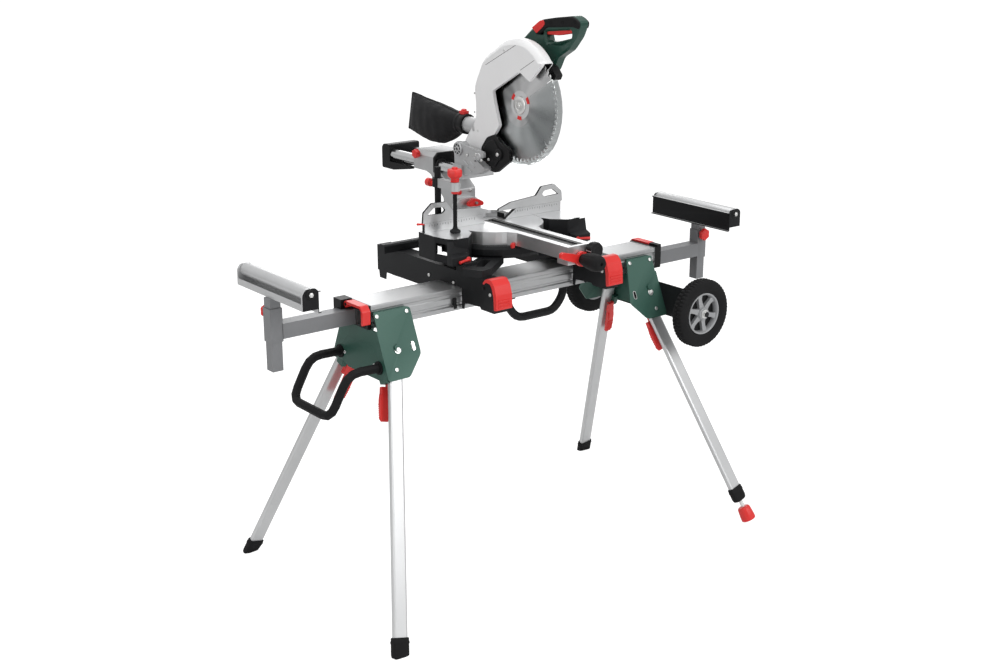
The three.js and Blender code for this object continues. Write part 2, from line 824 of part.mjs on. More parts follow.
function makeExtension(side) {
  const name = side < 0 ? "left" : "right";
  const x = side * (side < 0 ? postLeftX : postRightX);
  const y = -side * barY;
  const knobSide = Math.sign(y); // the knob stands on the post's face away from the other bar
  const face = y + knobSide * (postWidth / 2);

  const barStart = side * (beamEnd - barInsert);
  const barEnd = x - side * (postWidth / 2 - 1);
  const bar = cut(
    block([barStart, barEnd], [y - barWidth / 2, y + barWidth / 2], [barBottom, barBottom + barHeight]),
    block(
      [barStart - side, barEnd - side * 4],
      [y - barWidth / 2 + barWall, y + barWidth / 2 - barWall],
      [barBottom + barWall, barBottom + barHeight - barWall],
    ),
  );
  const knobZ = postTop - knobDrop;
  const post = cut(
    squareTube(postWidth, postWidth, postWall, postBottom, postTop, x, y),
    rod(knobScrew + 0.4, at(x, face + knobSide, knobZ), at(x, y, knobZ), 12),
  );
  part("extension_bar_" + name, join(bar, post), greyPaint, stand);

  const rollerHeight = side < 0 ? rollerHeightLeft : rollerHeightRight;
  const channelBottom = rollerHeight - channelDrop;
  const plateLow = rollerHeight - plateDrop;
  const innerTop = channelBottom - seat;
  const innerPostBottom = innerTop - innerPostLength;
  const innerEnd = block(
    [x - innerPost / 2, x + innerPost / 2],
    [y - innerPost / 2, y + innerPost / 2],
    [innerPostBottom, innerPostBottom + 3],
  );
  const head = block(
    [x - innerPost / 2, x + innerPost / 2],
    [y - innerPost / 2, y + innerPost / 2],
    [innerTop - 3, innerTop],
  );
  const breather = rod(4, at(x, y, innerPostBottom - 1), at(x, y, innerPostBottom + 5), 8);
  const tube = squareTube(innerPost, innerPost, 2, innerPostBottom, innerTop, x, y);
  part("roller_post_" + name, join(tube, cut(innerEnd, breather), head), greyPaint, stand);

  const knobStart = face + knobSide * seat;
  const screwTip = y + knobSide * (innerPost / 2 + seat);
  const knob = join(
    rod(
      heightKnobRadius,
      at(x, knobStart, knobZ),
      at(x, knobStart + knobSide * heightKnobLength, knobZ),
      12,
    ),
    rod(knobScrew, at(x, screwTip, knobZ), at(x, knobStart + knobSide * 2, knobZ), 12),
  );
  part("height_knob_" + name, knob, redPlastic, stand);

  // the channel lies along Y; its tall plate is on the saw's side
  const saws = -side;
  const rollerX = x + saws * rollerInset;
  const half = channelWidth / 2;
  const section = outline([
    [rollerX - saws * half, channelBottom],
    [rollerX - saws * half, channelBottom + lipHeight],
    [rollerX - saws * (half - channelWall), channelBottom + lipHeight],
    [rollerX - saws * (half - channelWall), channelBottom + channelWall],
    [rollerX + saws * (half - channelWall), channelBottom + channelWall],
    [rollerX + saws * (half - channelWall), plateLow + plateHeight],
    [rollerX + saws * (half + plateLip), plateLow + plateHeight],
    [rollerX + saws * (half + plateLip), plateLow + plateHeight - channelWall],
    [rollerX + saws * half, plateLow + plateHeight - channelWall],
    [rollerX + saws * half, plateLow + channelWall],
    [rollerX + saws * (half + plateLip), plateLow + channelWall],
    [rollerX + saws * (half + plateLip), plateLow],
    [rollerX + saws * (half - channelWall), plateLow],
    [rollerX + saws * (half - channelWall), channelBottom],
  ]);
  const [ya, yb] = [y - rollerLength / 2 - endPlate, y + rollerLength / 2 + endPlate];
  const ends = [ya, yb - endPlate + seat].map((y0) =>
    alongY(
      outline(
        [
          [rollerX - half, channelBottom],
          [rollerX + half, channelBottom],
          [rollerX + half, rollerHeight + 6],
          [rollerX + half - 10, rollerHeight + rollerRadius - 2],
          [rollerX - half + 10, rollerHeight + rollerRadius - 2],
          [rollerX - half, rollerHeight + 2],
        ],
        5,
      ),
      y0,
      y0 + endPlate - seat,
    ),
  );
  const axleHole = rod(
    rollerAxle + 0.4,
    at(rollerX, ya - 1, rollerHeight),
    at(rollerX, yb + 1, rollerHeight),
    12,
  );
  const channelShape = cut(join(alongY(section, ya, yb), ...ends), axleHole);
  part("roller_channel_" + name, channelShape, aluminium, stand);

  const rollerHalf = rollerLength / 2 - seat;
  const roller = join(
    rod(
      rollerRadius,
      at(rollerX, y - rollerHalf, rollerHeight),
      at(rollerX, y + rollerHalf, rollerHeight),
      28,
    ),
    rod(rollerAxle, at(rollerX, ya, rollerHeight), at(rollerX, yb, rollerHeight), 12),
  );
  part("roller_" + name, roller, aluminium, stand);
}
makeExtension(-1);
makeExtension(1);

// ---- carry handle and grip of bent round tube
function makeCarryHandle() {
  const x0 = -trestleOuterLeft - seat;
  const route = [
    at(x0 - 2, -carryHalf, carryRoot),
    at(-carryElbow, -carryHalf, carryRoot + 2),
    at(-carryReach, -carryHalf, carryLow),
    at(-carryReach, carryHalf, carryLow),
    at(-carryElbow, carryHalf, carryRoot + 2),
    at(x0 - 2, carryHalf, carryRoot),
  ];
  const flanges = [-1, 1].map((side) =>
    rod(
      carryTube + 6,
      at(x0, side * carryHalf, carryRoot),
      at(x0 - 4, side * carryHalf, carryRoot),
      12,
    ),
  );
  return join(bentTube(route, carryTube, 34, 9), ...flanges);
}
part("carry_handle", makeCarryHandle(), blackSteel, stand);

function makeBeamHandle() {
  const top = beamBottom - seat;
  const route = [
    at(gripLeft, gripY, top),
    at(gripLeft, gripY, top - 26),
    at(gripLeft + 36, gripY, gripLow),
    at(gripRight - 36, gripY, gripLow),
    at(gripRight, gripY, top - 26),
    at(gripRight, gripY, top),
  ];
  const flanges = [gripLeft, gripRight].map((x) =>
    block([x - 18, x + 18], [gripY - 13, gripY + 13], [top - 4, top]),
  );
  return join(bentTube(route, beamGrip, 22, 9), ...flanges);
}
part("beam_handle", makeBeamHandle(), blackSteel, stand);

// ---- wheels on an axle bracket at the right trestle's end
function makeWheelBracket() {
  const x0 = trestleOuterRight + seat;
  const tabs = [-1, 1].map((side) =>
    alongY(
      outline(
        [
          [x0, bracketLow],
          [wheelX + 16, bracketLow],
          [wheelX + 16, wheelHeight + 16],
          [x0 + 14, bracketHigh],
          [x0, bracketHigh],
        ],
        6,
      ),
      side * tabY - sheet / 2,
      side * tabY + sheet / 2,
    ),
  );
  const web = block([x0, x0 + sheet], [-tabY, tabY], [bracketLow, bracketHigh]);
  const end = wheelTrack / 2 + wheelWidth / 2 + 8;
  const axle = rod(axleRadius, at(wheelX, -end, wheelHeight), at(wheelX, end, wheelHeight), 16);
  const collars = [-1, 1].map((side) =>
    rod(
      axleRadius + 6,
      at(wheelX, side * (tabY - 1), wheelHeight),
      at(wheelX, side * (wheelTrack / 2 - hubHalf - seat), wheelHeight),
      16,
    ),
  );
  return join(web, ...tabs, axle, ...collars);
}
part("wheel_bracket", makeWheelBracket(), blackSteel, stand);

function makeWheel(side) {
  const name = side < 0 ? "front" : "rear";
  const half = wheelWidth / 2;
  const inner = rimRadius + seat;
  const profile = [
    [inner, -half + 6],
    [inner + 14, -half],
    [wheelRadius - 10, -half],
    [wheelRadius - 2, -half + 6],
    [wheelRadius, 0],
    [wheelRadius - 2, half - 6],
    [wheelRadius - 10, half],
    [inner + 14, half],
    [inner, half - 6],
    [inner, -half + 6],
  ];
  const place = (made) => made.translate(wheelX, (side * wheelTrack) / 2, wheelHeight);
  part("tyre_" + name, place(turned(profile, 28)), rubber, stand);

  const barrel = turned(
    [
      [rimRadius - 5, -half + 5],
      [rimRadius, -half + 5],
      [rimRadius, half - 5],
      [rimRadius - 5, half - 5],
      [rimRadius - 5, -half + 5],
    ],
    28,
  );
  const hub = rod(hubRadius, at(0, -hubHalf, 0), at(0, hubHalf, 0), 14);
  const arms = Array.from({ length: spokes }, (_, k) => {
    const arm = block(
      [hubRadius - 4, rimRadius - 3],
      [-spokeHalf, spokeHalf],
      [-spokeWidth / 2, spokeWidth / 2],
    );
    return arm.rotateY((2 * Math.PI * k) / spokes);
  });
  const bore = rod(axleRadius + run / 2, at(0, -half * 2, 0), at(0, half * 2, 0), 12);
  const rim = cut(join(barrel, hub, ...arms), bore);
  part(
    "rim_" + name,
    geometryOf(rim).translate(wheelX, (side * wheelTrack) / 2, wheelHeight),
    rimPlastic,
    stand,
  );
}
makeWheel(-1);
makeWheel(1);

// ---- machine brackets: channels across the beam, each with a clamp lever over its front end
function makeMachineBracket(x) {
  const half = bracketWidth / 2;
  const over = beamTop + seat;
  const side = outline([
    [-bracketFront, bracketBottom - 2],
    [-bracketFront, bracketTop - 16],
    [-bracketFront + 14, bracketTop],
    [bracketRear, bracketTop],
    [bracketRear, rearLow],
    [bracketRear - 7, rearLow],
    [bracketRear - 10, rearFoot],
    [bracketRear - 40, rearFoot],
    [bracketRear - 43, rearLow],
    [beamHalf + hookGap, rearLow],
    [beamHalf + hookGap, over],
    [-beamHalf - hookGap, over],
    [-beamHalf - hookGap, beamBottom + 3],
    [-beamHalf - hookGap - 8, beamBottom + 3],
    [-beamHalf - hookGap - 11, bracketBottom],
    [-136, bracketBottom + 4],
    [-140, bracketBottom - 2],
  ]);
  const inside = block(
    [x - half + bracketWall, x + half - bracketWall],
    [-bracketFront + bracketWall, bracketRear - bracketWall],
    [700, bracketTop - bracketWall],
  );
  const pinHalf = clampWidth / 2 + 1;
  const pin = rod(
    leverPinRadius,
    at(x - pinHalf, leverPinY, leverPinZ),
    at(x + pinHalf, leverPinY, leverPinZ),
    12,
  );
  return join(cut(alongX(side, x - half, x + half), inside), pin);
}

function makeBracketLever(x) {
  const skin = outline(
    [
      [-168, 851],
      [-185, 850.5],
      [-199, 837],
      [-207, 812],
      [-209, 773],
      [-197, 771],
      [-187, 790],
      [-143, 810],
      [-141, 828],
      [-150, 836],
      [-160, 847],
    ],
    4,
  );
  const hollow = [
    [-130, 847.8],
    [-183.5, 847.8],
    [-196, 835],
    [-203.5, 811],
    [-205, 765],
    [-130, 760],
  ];
  const half = clampWidth / 2;
  const inner = bracketWidth / 2 + seat;
  return cut(
    alongX(skin, x - half, x + half, 2),
    alongX(hollow, x - inner, x + inner),
    rod(
      leverPinRadius + 0.4,
      at(x - half - 1, leverPinY, leverPinZ),
      at(x + half + 1, leverPinY, leverPinZ),
      12,
    ),
  );
}
[
  ["left", bracketLeftX],
  ["right", bracketRightX],
].forEach(([name, x]) => {
  part("machine_bracket_" + name, makeMachineBracket(x), blackSteel, stand);
  part("bracket_lever_" + name, makeBracketLever(x), redPlastic, stand);
});

// ---------------------------------------------------------------- saw: base, turntable, fence
const mirrored = (points) => points.map(([x, y]) => [-x, y]);
const bothSides = (points) => [points, mirrored(points)];

function makeSawBase() {
  const top = -turntableDepth - seat;
  const ring = spun(
    [
      [ringRadius - 18, top],
      [ringRadius, top],
      [ringRadius + 6, top - 8],
      [ringRadius + 6, top - 24],
      [ringRadius, -ringDepth - turntableDepth],
      [ringRadius - 18, -ringDepth - turntableDepth],
      [ringRadius - 18, top],
    ],
    36,
  );
  const floor = rod(ringRadius - 6, at(0, 0, -baseFloor), at(0, 0, -baseFloor + wall), 36);
  const hub = rod(spigot + 14, at(0, 0, -baseFloor), at(0, 0, top), 20);
  const wings = bothSides([
    [-wingHalf, wingBack],
    [-wingHalf, -47],
    [-wingHalf + 10, -91],
    [-wingHalf + 23, -wingFront + 3],
    [-176, -wingFront],
    [-112, -49],
    [-100, wingBack],
  ]).map((points) => alongZ(outline(points, 3), -blockDepth, 0, 2));
  const well = rod(turntableRadius + run, at(0, 0, top), at(0, 0, 1), 48);
  const cellar = rod(ringRadius - 10, at(0, 0, -baseFloor + 1), at(0, 0, top + 1), 36);
  const pockets = bothSides([
    [-wingHalf + wall, wingBack - wall],
    [-wingHalf + wall, -46],
    [-wingHalf + 15, -88],
    [-wingHalf + 26, -wingFront + 9],
    [-178, -wingFront + wall],
    [-162, -86],
    [-162, wingBack - wall],
  ]).map((points) => alongZ(points, -blockDepth - 1, -wall - 1));
  const aprons = [-1, 1].map((side) =>
    alongX(
      [
        [-wingFront + 6, -wall],
        [-wingFront - 1, -apronTop],
        [-apronFront, -apronTop - 8],
        [-apronFront, -blockDepth],
        [-wingFront + 6, -blockDepth],
      ],
      side < 0 ? -wingHalf : 178,
      side < 0 ? -178 : wingHalf,
    ),
  );
  const windows = [-1, 1].map((side) =>
    block([side * (wingHalf - 30), side * (wingHalf + 2)], [-100, -52], [-47, -16]),
  );
  const braces = bothSides([
    [-238, -162],
    [-210, -214],
    [-172, -206],
    [-60, -118],
    [-92, -70],
    [-180, -122],
  ]).map((points) => alongZ(outline(points, 8), -footLevel, -footLevel + 20, 2));
  const braceHoles = bothSides([
    [-196, -168],
    [-180, -182],
    [-122, -138],
    [-134, -118],
    [-172, -142],
  ]).map((points) => alongZ(outline(points, 5), -footLevel - 1, -footLevel + 21, 2));
  const rearBar = alongX(
    outline(
      [
        [footRearY - 13, -footLevel],
        [footRearY + 13, -footLevel],
        [footRearY + 13, -footLevel + 20],
        [footRearY + 8, -footLevel + 24],
        [footRearY - 8, -footLevel + 24],
        [footRearY - 13, -footLevel + 20],
      ],
    ),
    -rearBarHalf,
    rearBarHalf,
  );
  const rearArms = [-1, 1].map((side) =>
    block([side * 58, side * 96], [108, footRearY - 5], [-footLevel + 2, -baseFloor + 4]),
  );
  const cornerPosts = [-1, 1].map((side) =>
    block([side * 178, side * 214], [-wingFront - 40, -wingFront + 4], [-footLevel, -blockDepth + 8]),
  );
  const post = rod(
    clampPostRadius + run / 2,
    at(clampX, clampPostY, -blockDepth - 2),
    at(clampX, clampPostY, 1),
    16,
  );
  const sleeve = rod(clampPostRadius + 5, at(clampX, clampPostY, -40), at(clampX, clampPostY, -wall), 16);
  const casting = cut(join(...wings, ...aprons), well, ...pockets);
  const base = join(
    cut(join(casting, sleeve), cellar),
    ring,
    floor,
    hub,
    ...braces,
    rearBar,
    ...rearArms,
    ...cornerPosts,
  );
  const spigotHole = rod(spigot + run / 2, at(0, 0, -baseFloor - 1), at(0, 0, 1), 20);
  // room for the turntable's arm, and for its wider root, at both ends of its swing
  const reach = armHalf + armGap;
  const root = reach + armFlare;
  const armRoom = [-1, 1].flatMap((side) =>
    [
      block([-reach, reach], [-armLength, -ringRadius - 20], [-armDrop - 2, armGap]),
      alongZ(
        [
          [-reach, -ringRadius - 21],
          [reach, -ringRadius - 21],
          [reach, -armFlareEnd - 1],
          [root, -armFlareStart - 1],
          [root, -armFlareStart + 10],
          [-root, -armFlareStart + 10],
          [-root, -armFlareStart - 1],
          [-reach, -armFlareEnd - 1],
        ],
        -turntableDepth - seat,
        armGap,
      ),
    ].map((room) => room.rotateZ((side * Math.PI) / 4)),
  );
  return cut(base, ...windows, ...braceHoles, post, spigotHole, ...armRoom);
}
part("saw_base", makeSawBase(), castAluminium, saw);

function makeTurntable() {
  const low = -turntableDepth;
  const disc = rod(turntableRadius, at(0, 0, low), at(0, 0, 0), 48);
  const arm = alongZ(
    outline([
      [-armHalf, -armLength],
      [armHalf, -armLength],
      [armHalf, -armFlareEnd],
      [armHalf + armFlare, -armFlareStart],
      [-armHalf - armFlare, -armFlareStart],
      [-armHalf, -armFlareEnd],
    ]),
    low,
    0,
  );
  const nose = block([-armHalf, armHalf], [-armLength, -armLength + 42], [-armDrop, low + 1]);
  const pivot = rod(spigot, at(0, 0, -baseFloor + 2), at(0, 0, low + 1), 20);
  const trunnion = alongY(
    outline(
      [
        [-trunnionHalf, low],
        [trunnionHalf, low],
        [trunnionHalf, trunnionTop - 18],
        [trunnionHalf - 16, trunnionTop],
        [-trunnionHalf + 16, trunnionTop],
        [-trunnionHalf, trunnionTop - 18],
      ],
      6,
    ),
    trunnionFront,
    columnFront - seat,
  );
  const saddle = block([-trunnionHalf + 4, trunnionHalf - 4], [100, trunnionFront + 1], [low, 12]);
  const tiltPin = rod(tiltPinRadius, at(0, columnFront - 2, 0), at(0, columnRear + 4, 0), 20);
  const leverPost = rod(
    bevelPin,
    at(bevelX, bevelY - 12, bevelZ),
    at(bevelX, trunnionFront + 1, bevelZ),
    12,
  );
  const knob = join(
    rod(21, at(armHalf - 4, -armLength - 4, -16), at(armHalf - 4, -armLength - 24, -16), 12),
    rod(9, at(armHalf - 10, -armLength - 6, -16), at(armHalf - 10, -armLength + 4, -16), 12),
  );
  const hollow = cut(
    spun(
      [
        [42, low - 1],
        [turntableRadius - 12, low - 1],
        [turntableRadius - 12, -9],
        [42, -9],
        [42, low - 1],
      ],
      28,
    ),
    block([-channelHalf - 6, channelHalf + 6], [-200, 200], [low - 2, 0]),
    block([-armHalf - 20, armHalf + 20], [-200, -90], [low - 2, 0]),
    block([-trunnionHalf - 4, trunnionHalf + 4], [90, 200], [low - 2, 0]),
  );
  const recess = block(
    [-insertHalf - seat, insertHalf + seat],
    [-insertFront - seat, insertRear + seat],
    [-insertThick - seat, 1],
  );
  const channel = block(
    [-channelHalf, channelHalf],
    [-kerfFront, kerfRear],
    [-kerfDepth, -insertThick + 1],
  );
  const gripBore = rod(gripStem + run / 2, at(0, -armLength - 1, gripZ), at(0, -armLength + 26, gripZ), 12);
  const body = join(disc, arm, nose, pivot, trunnion, saddle, tiltPin, leverPost, knob);
  return cut(body, hollow, recess, channel, gripBore);
}
part("turntable", makeTurntable(), aluminium, saw);

const kerfSlot = block([-kerfHalf, kerfHalf], [-kerfFront, kerfRear], [-10, 1]);
part(
  "kerf_plate",
  cut(block([-insertHalf, insertHalf], [-insertFront, insertRear], [-insertThick, 0]), kerfSlot),
  blackPlastic,
  saw,
);

// the grip's barrel at the arm's end and the release lever at its root
part(
  "mitre_grip",
  turned(
    [
      [0, -armLength + 24],
      [gripStem, -armLength + 24],
      [gripStem, -armLength - seat],
      [gripCollar, -armLength - seat],
      [gripCollar, -armLength - 14],
      [19, -armLength - 14],
      [23.5, -armLength - 34],
      [23, -armLength - 56],
      [19, -armLength - 78],
      [12, -armLength - 86],
      [0, -armLength - 86],
    ],
    20,
  ).translate(0, 0, gripZ),
  blackPlastic,
  saw,
);
function makeMitreLever() {
  const [y0, y1] = [-armLength - 12, -armLength - 2];
  const wing = alongY(
    outline(
      [
        [-74, gripZ + 24],
        [-66, gripZ + 27],
        [-10, gripZ + 12],
        [-10, gripZ - 12],
        [-60, gripZ + 6],
        [-74, gripZ + 12],
      ],
      4,
    ),
    y0,
    y1,
  );
  const ring = rod(gripCollar + 7, at(0, y0, gripZ), at(0, y1, gripZ), 20);
  return cut(join(wing, ring), rod(gripCollar + run, at(0, y0 - 1, gripZ), at(0, y1 + 1, gripZ), 20));
}
part("mitre_lever", makeMitreLever(), redPlastic, saw);

// ---- fence: a low fixed wall bridged behind the blade, and a sliding upper wall on each side
function makeFence() {
  const left = alongY(
    [
      [-fenceHalf, seat],
      [-fenceGap, seat],
      [-fenceGap - 8, fenceHeight],
      [-fenceHalf, fenceHeight],
    ],
    0,
    fenceThick,
  );
  const right = alongY(
    [
      [fenceGap, seat],
      [fenceHalf, seat],
      [fenceHalf, fenceHeight],
      [fenceGap + 38, fenceHeight],
    ],
    0,
    fenceThick,
  );
  const bridge = [
    [-fenceGap - 26, fenceThick - 1],
    [-fenceGap - 6, fenceThick - 1],
    [-fenceGap - 6, 44],
    [-22, bridgeY],
    [22, bridgeY],
    [fenceGap + 6, 44],
    [fenceGap + 6, fenceThick - 1],
    [fenceGap + 26, fenceThick - 1],
    [fenceGap + 26, 56],
    [34, bridgeY + 15],
    [-34, bridgeY + 15],
    [-fenceGap - 26, 56],
  ];
  // a slot along the back of each wall guides the sliding wall's tongue
  const grooves = [-1, 1].map((side) =>
    block([side * (fenceGap + 44), side * (fenceHalf + 1)], [tongueY - seat, tongueY + tongueThick + seat], [
      fenceHeight - tongueDeep - seat,
      fenceHeight + 1,
    ]),
  );
  return cut(join(left, right, alongZ(bridge, seat, bridgeTop)), ...grooves);
}
part("fence", makeFence(), castAluminium, saw);

function makeSlidingFence(side) {
  const low = fenceHeight + seat;
  const face = outline(
    [
      [246, low],
      [243, 56],
      [215, slideFenceTop],
      [168, slideFenceTop - 2],
      [148, 53],
      [57, 46],
      [fenceInner, 32],
      [fenceInner, low],
    ].map(([x, z]) => [side * x, z]),
    3,
  );
  const window = outline(
    [
      [232, 48],
      [208, 66],
      [178, 64],
      [170, 54],
      [182, 46],
    ].map(([x, z]) => [side * x, z]),
    4,
  );
  const [y0, y1] = [0, slideFenceThick];
  const rib = block(
    [side * (fenceGap + 50), side * (fenceHalf - 6)],
    [y1 - 1, tongueY + tongueThick],
    [low, low + 5],
  );
  const tongue = block(
    [side * (fenceGap + 50), side * (fenceHalf - 6)],
    [tongueY, tongueY + tongueThick],
    [low - tongueDeep, low + 5],
  );
  return join(cut(alongY(face, y0, y1, 2), alongY(window, y0 - 1, y1 + 1, 2)), rib, tongue);
}
part("fence_slide_left", makeSlidingFence(-1), castAluminium, saw);
part("fence_slide_right", makeSlidingFence(1), castAluminium, saw);

// ---------------------------------------------------------------- saw: column, slide and rails
function makeColumn() {
  const spine = outline(
    [
      [columnFront, -tiltRadius + 8],
      [columnFront, 70],
      [columnFront + 62, carriageLow + 4],
      [carriageFront + 4, carriageHigh],
      [carriageRear - 4, carriageHigh],
      [carriageRear - 4, carriageLow + 4],
      [250, 100],
      [243, 92],
      [columnRear, 40],
      [columnRear, -tiltRadius + 8],
    ],
    4,
  );
  const disc = rod(tiltRadius, at(0, columnFront, 0), at(0, columnRear - 14, 0), 32);
  const flank = cut(
    alongX(spine, -columnHalf, columnHalf, 2),
    block([-100, 100], [0, 400], [-100, 0]),
  );
  const carriage = block(
    [-carriageHalf, carriageHalf],
    [carriageFront, carriageRear],
    [carriageLow, carriageHigh],
  );
  const chamfers = [-1, 1].map((side) =>
    alongY(
      [
        [side * (carriageHalf + 1), carriageHigh - 14],
        [side * (carriageHalf + 1), carriageHigh + 1],
        [side * (carriageHalf - 14), carriageHigh + 1],
      ],
      carriageFront - 1,
      carriageRear + 1,
    ),
  );
  const bores = [-1, 1].map((side) =>
    rod(railRadius + run / 2, at(side * railHalf, 0, railZ), at(side * railHalf, 500, railZ), 20),
  );
  const tiltBore = rod(tiltPinRadius + run / 2, at(0, 0, 0), at(0, 400, 0), 20);
  return cut(join(disc, flank, carriage), ...chamfers, ...bores, tiltBore);
}
part("tilt_column", makeColumn(), castAluminium, saw);

function makeBevelLever() {
  const wing = outline(
    [
      [bevelX - 27, bevelZ - 8],
      [bevelX - 27, bevelZ + 2],
      [bevelX - 8, bevelZ + 11],
      [bevelX + 9, bevelZ + 10],
      [bevelX + 28, bevelZ - 1],
      [bevelX + 28, bevelZ - 10],
      [bevelX, bevelZ - 11],
    ],
    4,
  );
  const [y0, y1] = [bevelY - 6, trunnionFront - seat];
  return cut(
    join(alongY(wing, y0, bevelY + 3), rod(11, at(bevelX, y0, bevelZ), at(bevelX, y1, bevelZ), 16)),
    rod(bevelPin + 0.4, at(bevelX, y0 - 1, bevelZ), at(bevelX, y1 + 1, bevelZ), 12),
  );
}
part("bevel_lever", makeBevelLever(), redPlastic, saw);

function makeSlideHead() {
  const yoke = block([-carriageHalf, carriageHalf], [railFront, railFront + 40], [railZ - 20, railZ + 20]);
  const rails = [-1, 1].map((side) =>
    rod(railRadius, at(side * railHalf, railFront + 2, railZ), at(side * railHalf, railRear, railZ), 20),
  );
  const ears = [-1, 1].map((side) =>
    join(
      alongX(
        outline(
          [
            [railFront, railZ + 10],
            [railFront + 40, railZ + 10],
            [pivotY + 21, pivotZ],
            [pivotY, pivotZ + 4],
            [pivotY - 21, pivotZ],
          ],
        ),
        side < 0 ? -earHalf : earHalf - 10,
        side < 0 ? -earHalf + 10 : earHalf,
      ),
      rod(21, at(side * (earHalf - 10), pivotY, pivotZ), at(side * earHalf, pivotY, pivotZ), 24),
    ),
  );
  const web = alongX(
    outline(
      [
        [pivotY, pivotZ + 14],
        [pivotY - 14, pivotZ + 14],
        [-12, 201],
        [-14, 186],
        [22, 176],
        [60, 150],
        [railFront + 6, railZ + 4],
        [pivotY, railZ + 14],
      ],
      4,
    ),
    -earHalf,
    -earHalf + 8,
    2,
  );
  const nose = alongX(
    outline(
      [
        [railFront + 6, 170],
        [10, 170],
        [-16, 158],
        [-16, 150],
        [20, 134],
        [railFront + 6, 124],
      ],
      5,
    ),
    -earHalf,
    guardLeft - 2 * seat,
    2,
  );
  const pin = rod(pivotPin, at(-earHalf - 3, pivotY, pivotZ), at(earHalf + 3, pivotY, pivotZ), 20);
  const webHoles = [
    [59, 183],
    [18, 191],
  ].map(([y, z]) => rod(4, at(-earHalf - 1, y, z), at(-earHalf + 9, y, z), 10));
  return cut(join(yoke, ...rails, ...ears, web, nose, pin), ...webHoles);
}
part("slide_head", makeSlideHead(), castAluminium, saw);

function makeRailEnd() {
  const cap = alongX(
    outline(
      [
        [railEndFront, endLow],
        [railEndRear, endLow],
        [railEndRear, endHigh - 10],
        [railEndRear - 10, endHigh],
        [railEndFront, endHigh],
      ],
      5,
    ),
    -endHalf,
    endHalf,
    2,
  );
  const skirts = [-1, 1].map((side) =>
    alongX(
      [
        [railEndFront + 5, endLow],
        [railEndFront + 5, carriageLow - 1],
        [skirtFront, carriageLow - 1],
        [skirtFront, carriageLow - 8],
        [railEndFront - 20, endLow],
      ],
      side < 0 ? -endHalf : columnHalf + 1,
      side < 0 ? -columnHalf - 1 : endHalf,
    ),
  );
  const sockets = [-1, 1].map((side) =>
    rod(
      railRadius + seat,
      at(side * railHalf, 400, railZ),
      at(side * railHalf, railRear + seat, railZ),
      20,
    ),
  );
  return cut(join(cap, ...skirts), ...sockets);
}
part("rail_end", makeRailEnd(), blackPlastic, saw);

// ---------------------------------------------------------------- saw: head
// Two circles and the straight lines that join them.
function capsule(from, to, r0, r1, steps = 10) {
  const along = Math.atan2(to[1] - from[1], to[0] - from[0]);
  const arc = (centre, radius, start) =>
    Array.from({ length: steps + 1 }, (_, k) => {
      const angle = start + (Math.PI * k) / steps;
      return [centre[0] + radius * Math.cos(angle), centre[1] + radius * Math.sin(angle)];
    });
  return [...arc(to, r1, along - Math.PI / 2), ...arc(from, r0, along + Math.PI / 2)];
}
const gearCase = (grow, x0, x1) =>
  alongX(capsule([bladeY, bladeZ], [motorY, motorZ], gearRadius + grow, motorRadius + 4 + grow), x0, x1);

// The guard's outline, from the pivot up the back, over the blade to the visor and back inside.
const guardBack = [
  [118, 186],
  [123, 208],
  [88, 258],
  [67, 285],
  [68, 330],
  [74, 372],
  [33, 450],
  [-62, 505],
  [-120, 514],
  [-160, 508],
  [-192, 493],
  [-216, 474],
  [-228, 458],
];
const guardEdge = [
  [-222, 449],
  [-177, 406],
  [-134, 428],
  [-20, 366],
  [-27, 337],
  [-39, 304],
  [-49, 275],
  [-21, 241],
  [25, 197],
  [95, 178],
];

// The guard's section at one X: its back moved inwards by the inset, its inner edge kept.
function guardRing(x, inset) {
  const all = [...guardBack, ...guardEdge].map(([y, z]) => new THREE.Vector2(y, z));
  return all.map((p, i) => {
    if (i === 0 || i >= guardBack.length - 1) return at(x, p.x, p.y);
    const before = p.clone().sub(all[i - 1]).normalize();
    const after = all[i + 1].clone().sub(p).normalize();
    const along = before.add(after).normalize();
    return at(x, p.x - along.y * inset, p.y + along.x * inset);
  });
}

function makeHeadHousing() {
  const shell = loft([
    guardRing(guardLeft, 15),
    guardRing(guardLeft + 13, 0),
    guardRing(guardRight - 6, 0),
    guardRing(guardRight, 5),
  ]);
  const hub = (x) => at(x, bladeY, bladeZ);
  const neck = alongX(
    outline(
      [
        [118, 186],
        [123, 208],
        [88, 258],
        [44, 266],
        [25, 197],
        [95, 178],
      ],
      5,
    ),
    guardLeft,
    headHalf - 2,
  );
  const barrel = rod(pivotBarrel, at(-headHalf - 3, pivotY, pivotZ), at(headHalf + 3, pivotY, pivotZ), 28);
  const outlet = rod(outletRadius, at(0, 44, outletZ), at(0, outletEnd, outletZ), 24);
  const wallDisc = rod(100, hub(guardRight - guardWall), hub(guardRight), 28);
  const cavity = rod(guardCavity, hub(guardLeft + guardWallLeft), hub(guardRight - guardWall), 44);
  const boss = rod(bossRadius, hub(bossLeft), hub(guardRight), 24);
  const deflector = alongX(
    outline(
      [
        [24, 204],
        [-30, 252],
        [-63, 225],
        [-94, 184],
        [-32, 144],
        [18, 167],
      ],
      6,
    ),
    guardLeft,
    -lowerGuardHalf - 2,
    2,
  );
  const bore = rod(outletRadius - guardWall, at(0, 20, outletZ), at(0, outletEnd + 1, outletZ), 24);
  const body = cut(
    join(shell, neck, barrel, outlet, wallDisc, gearCase(0, guardRight - guardWall, gearRight)),
    cavity,
  );
  const shaftBore = rod(shaftRadius + run, hub(0), hub(shaftEnd + 2), 16);
  const pinBore = rod(pivotPin + run / 2, at(-100, pivotY, pivotZ), at(100, pivotY, pivotZ), 20);
  return cut(join(body, boss, deflector), bore, shaftBore, pinBore);
}
part("head_housing", makeHeadHousing(), paleCasing, saw);

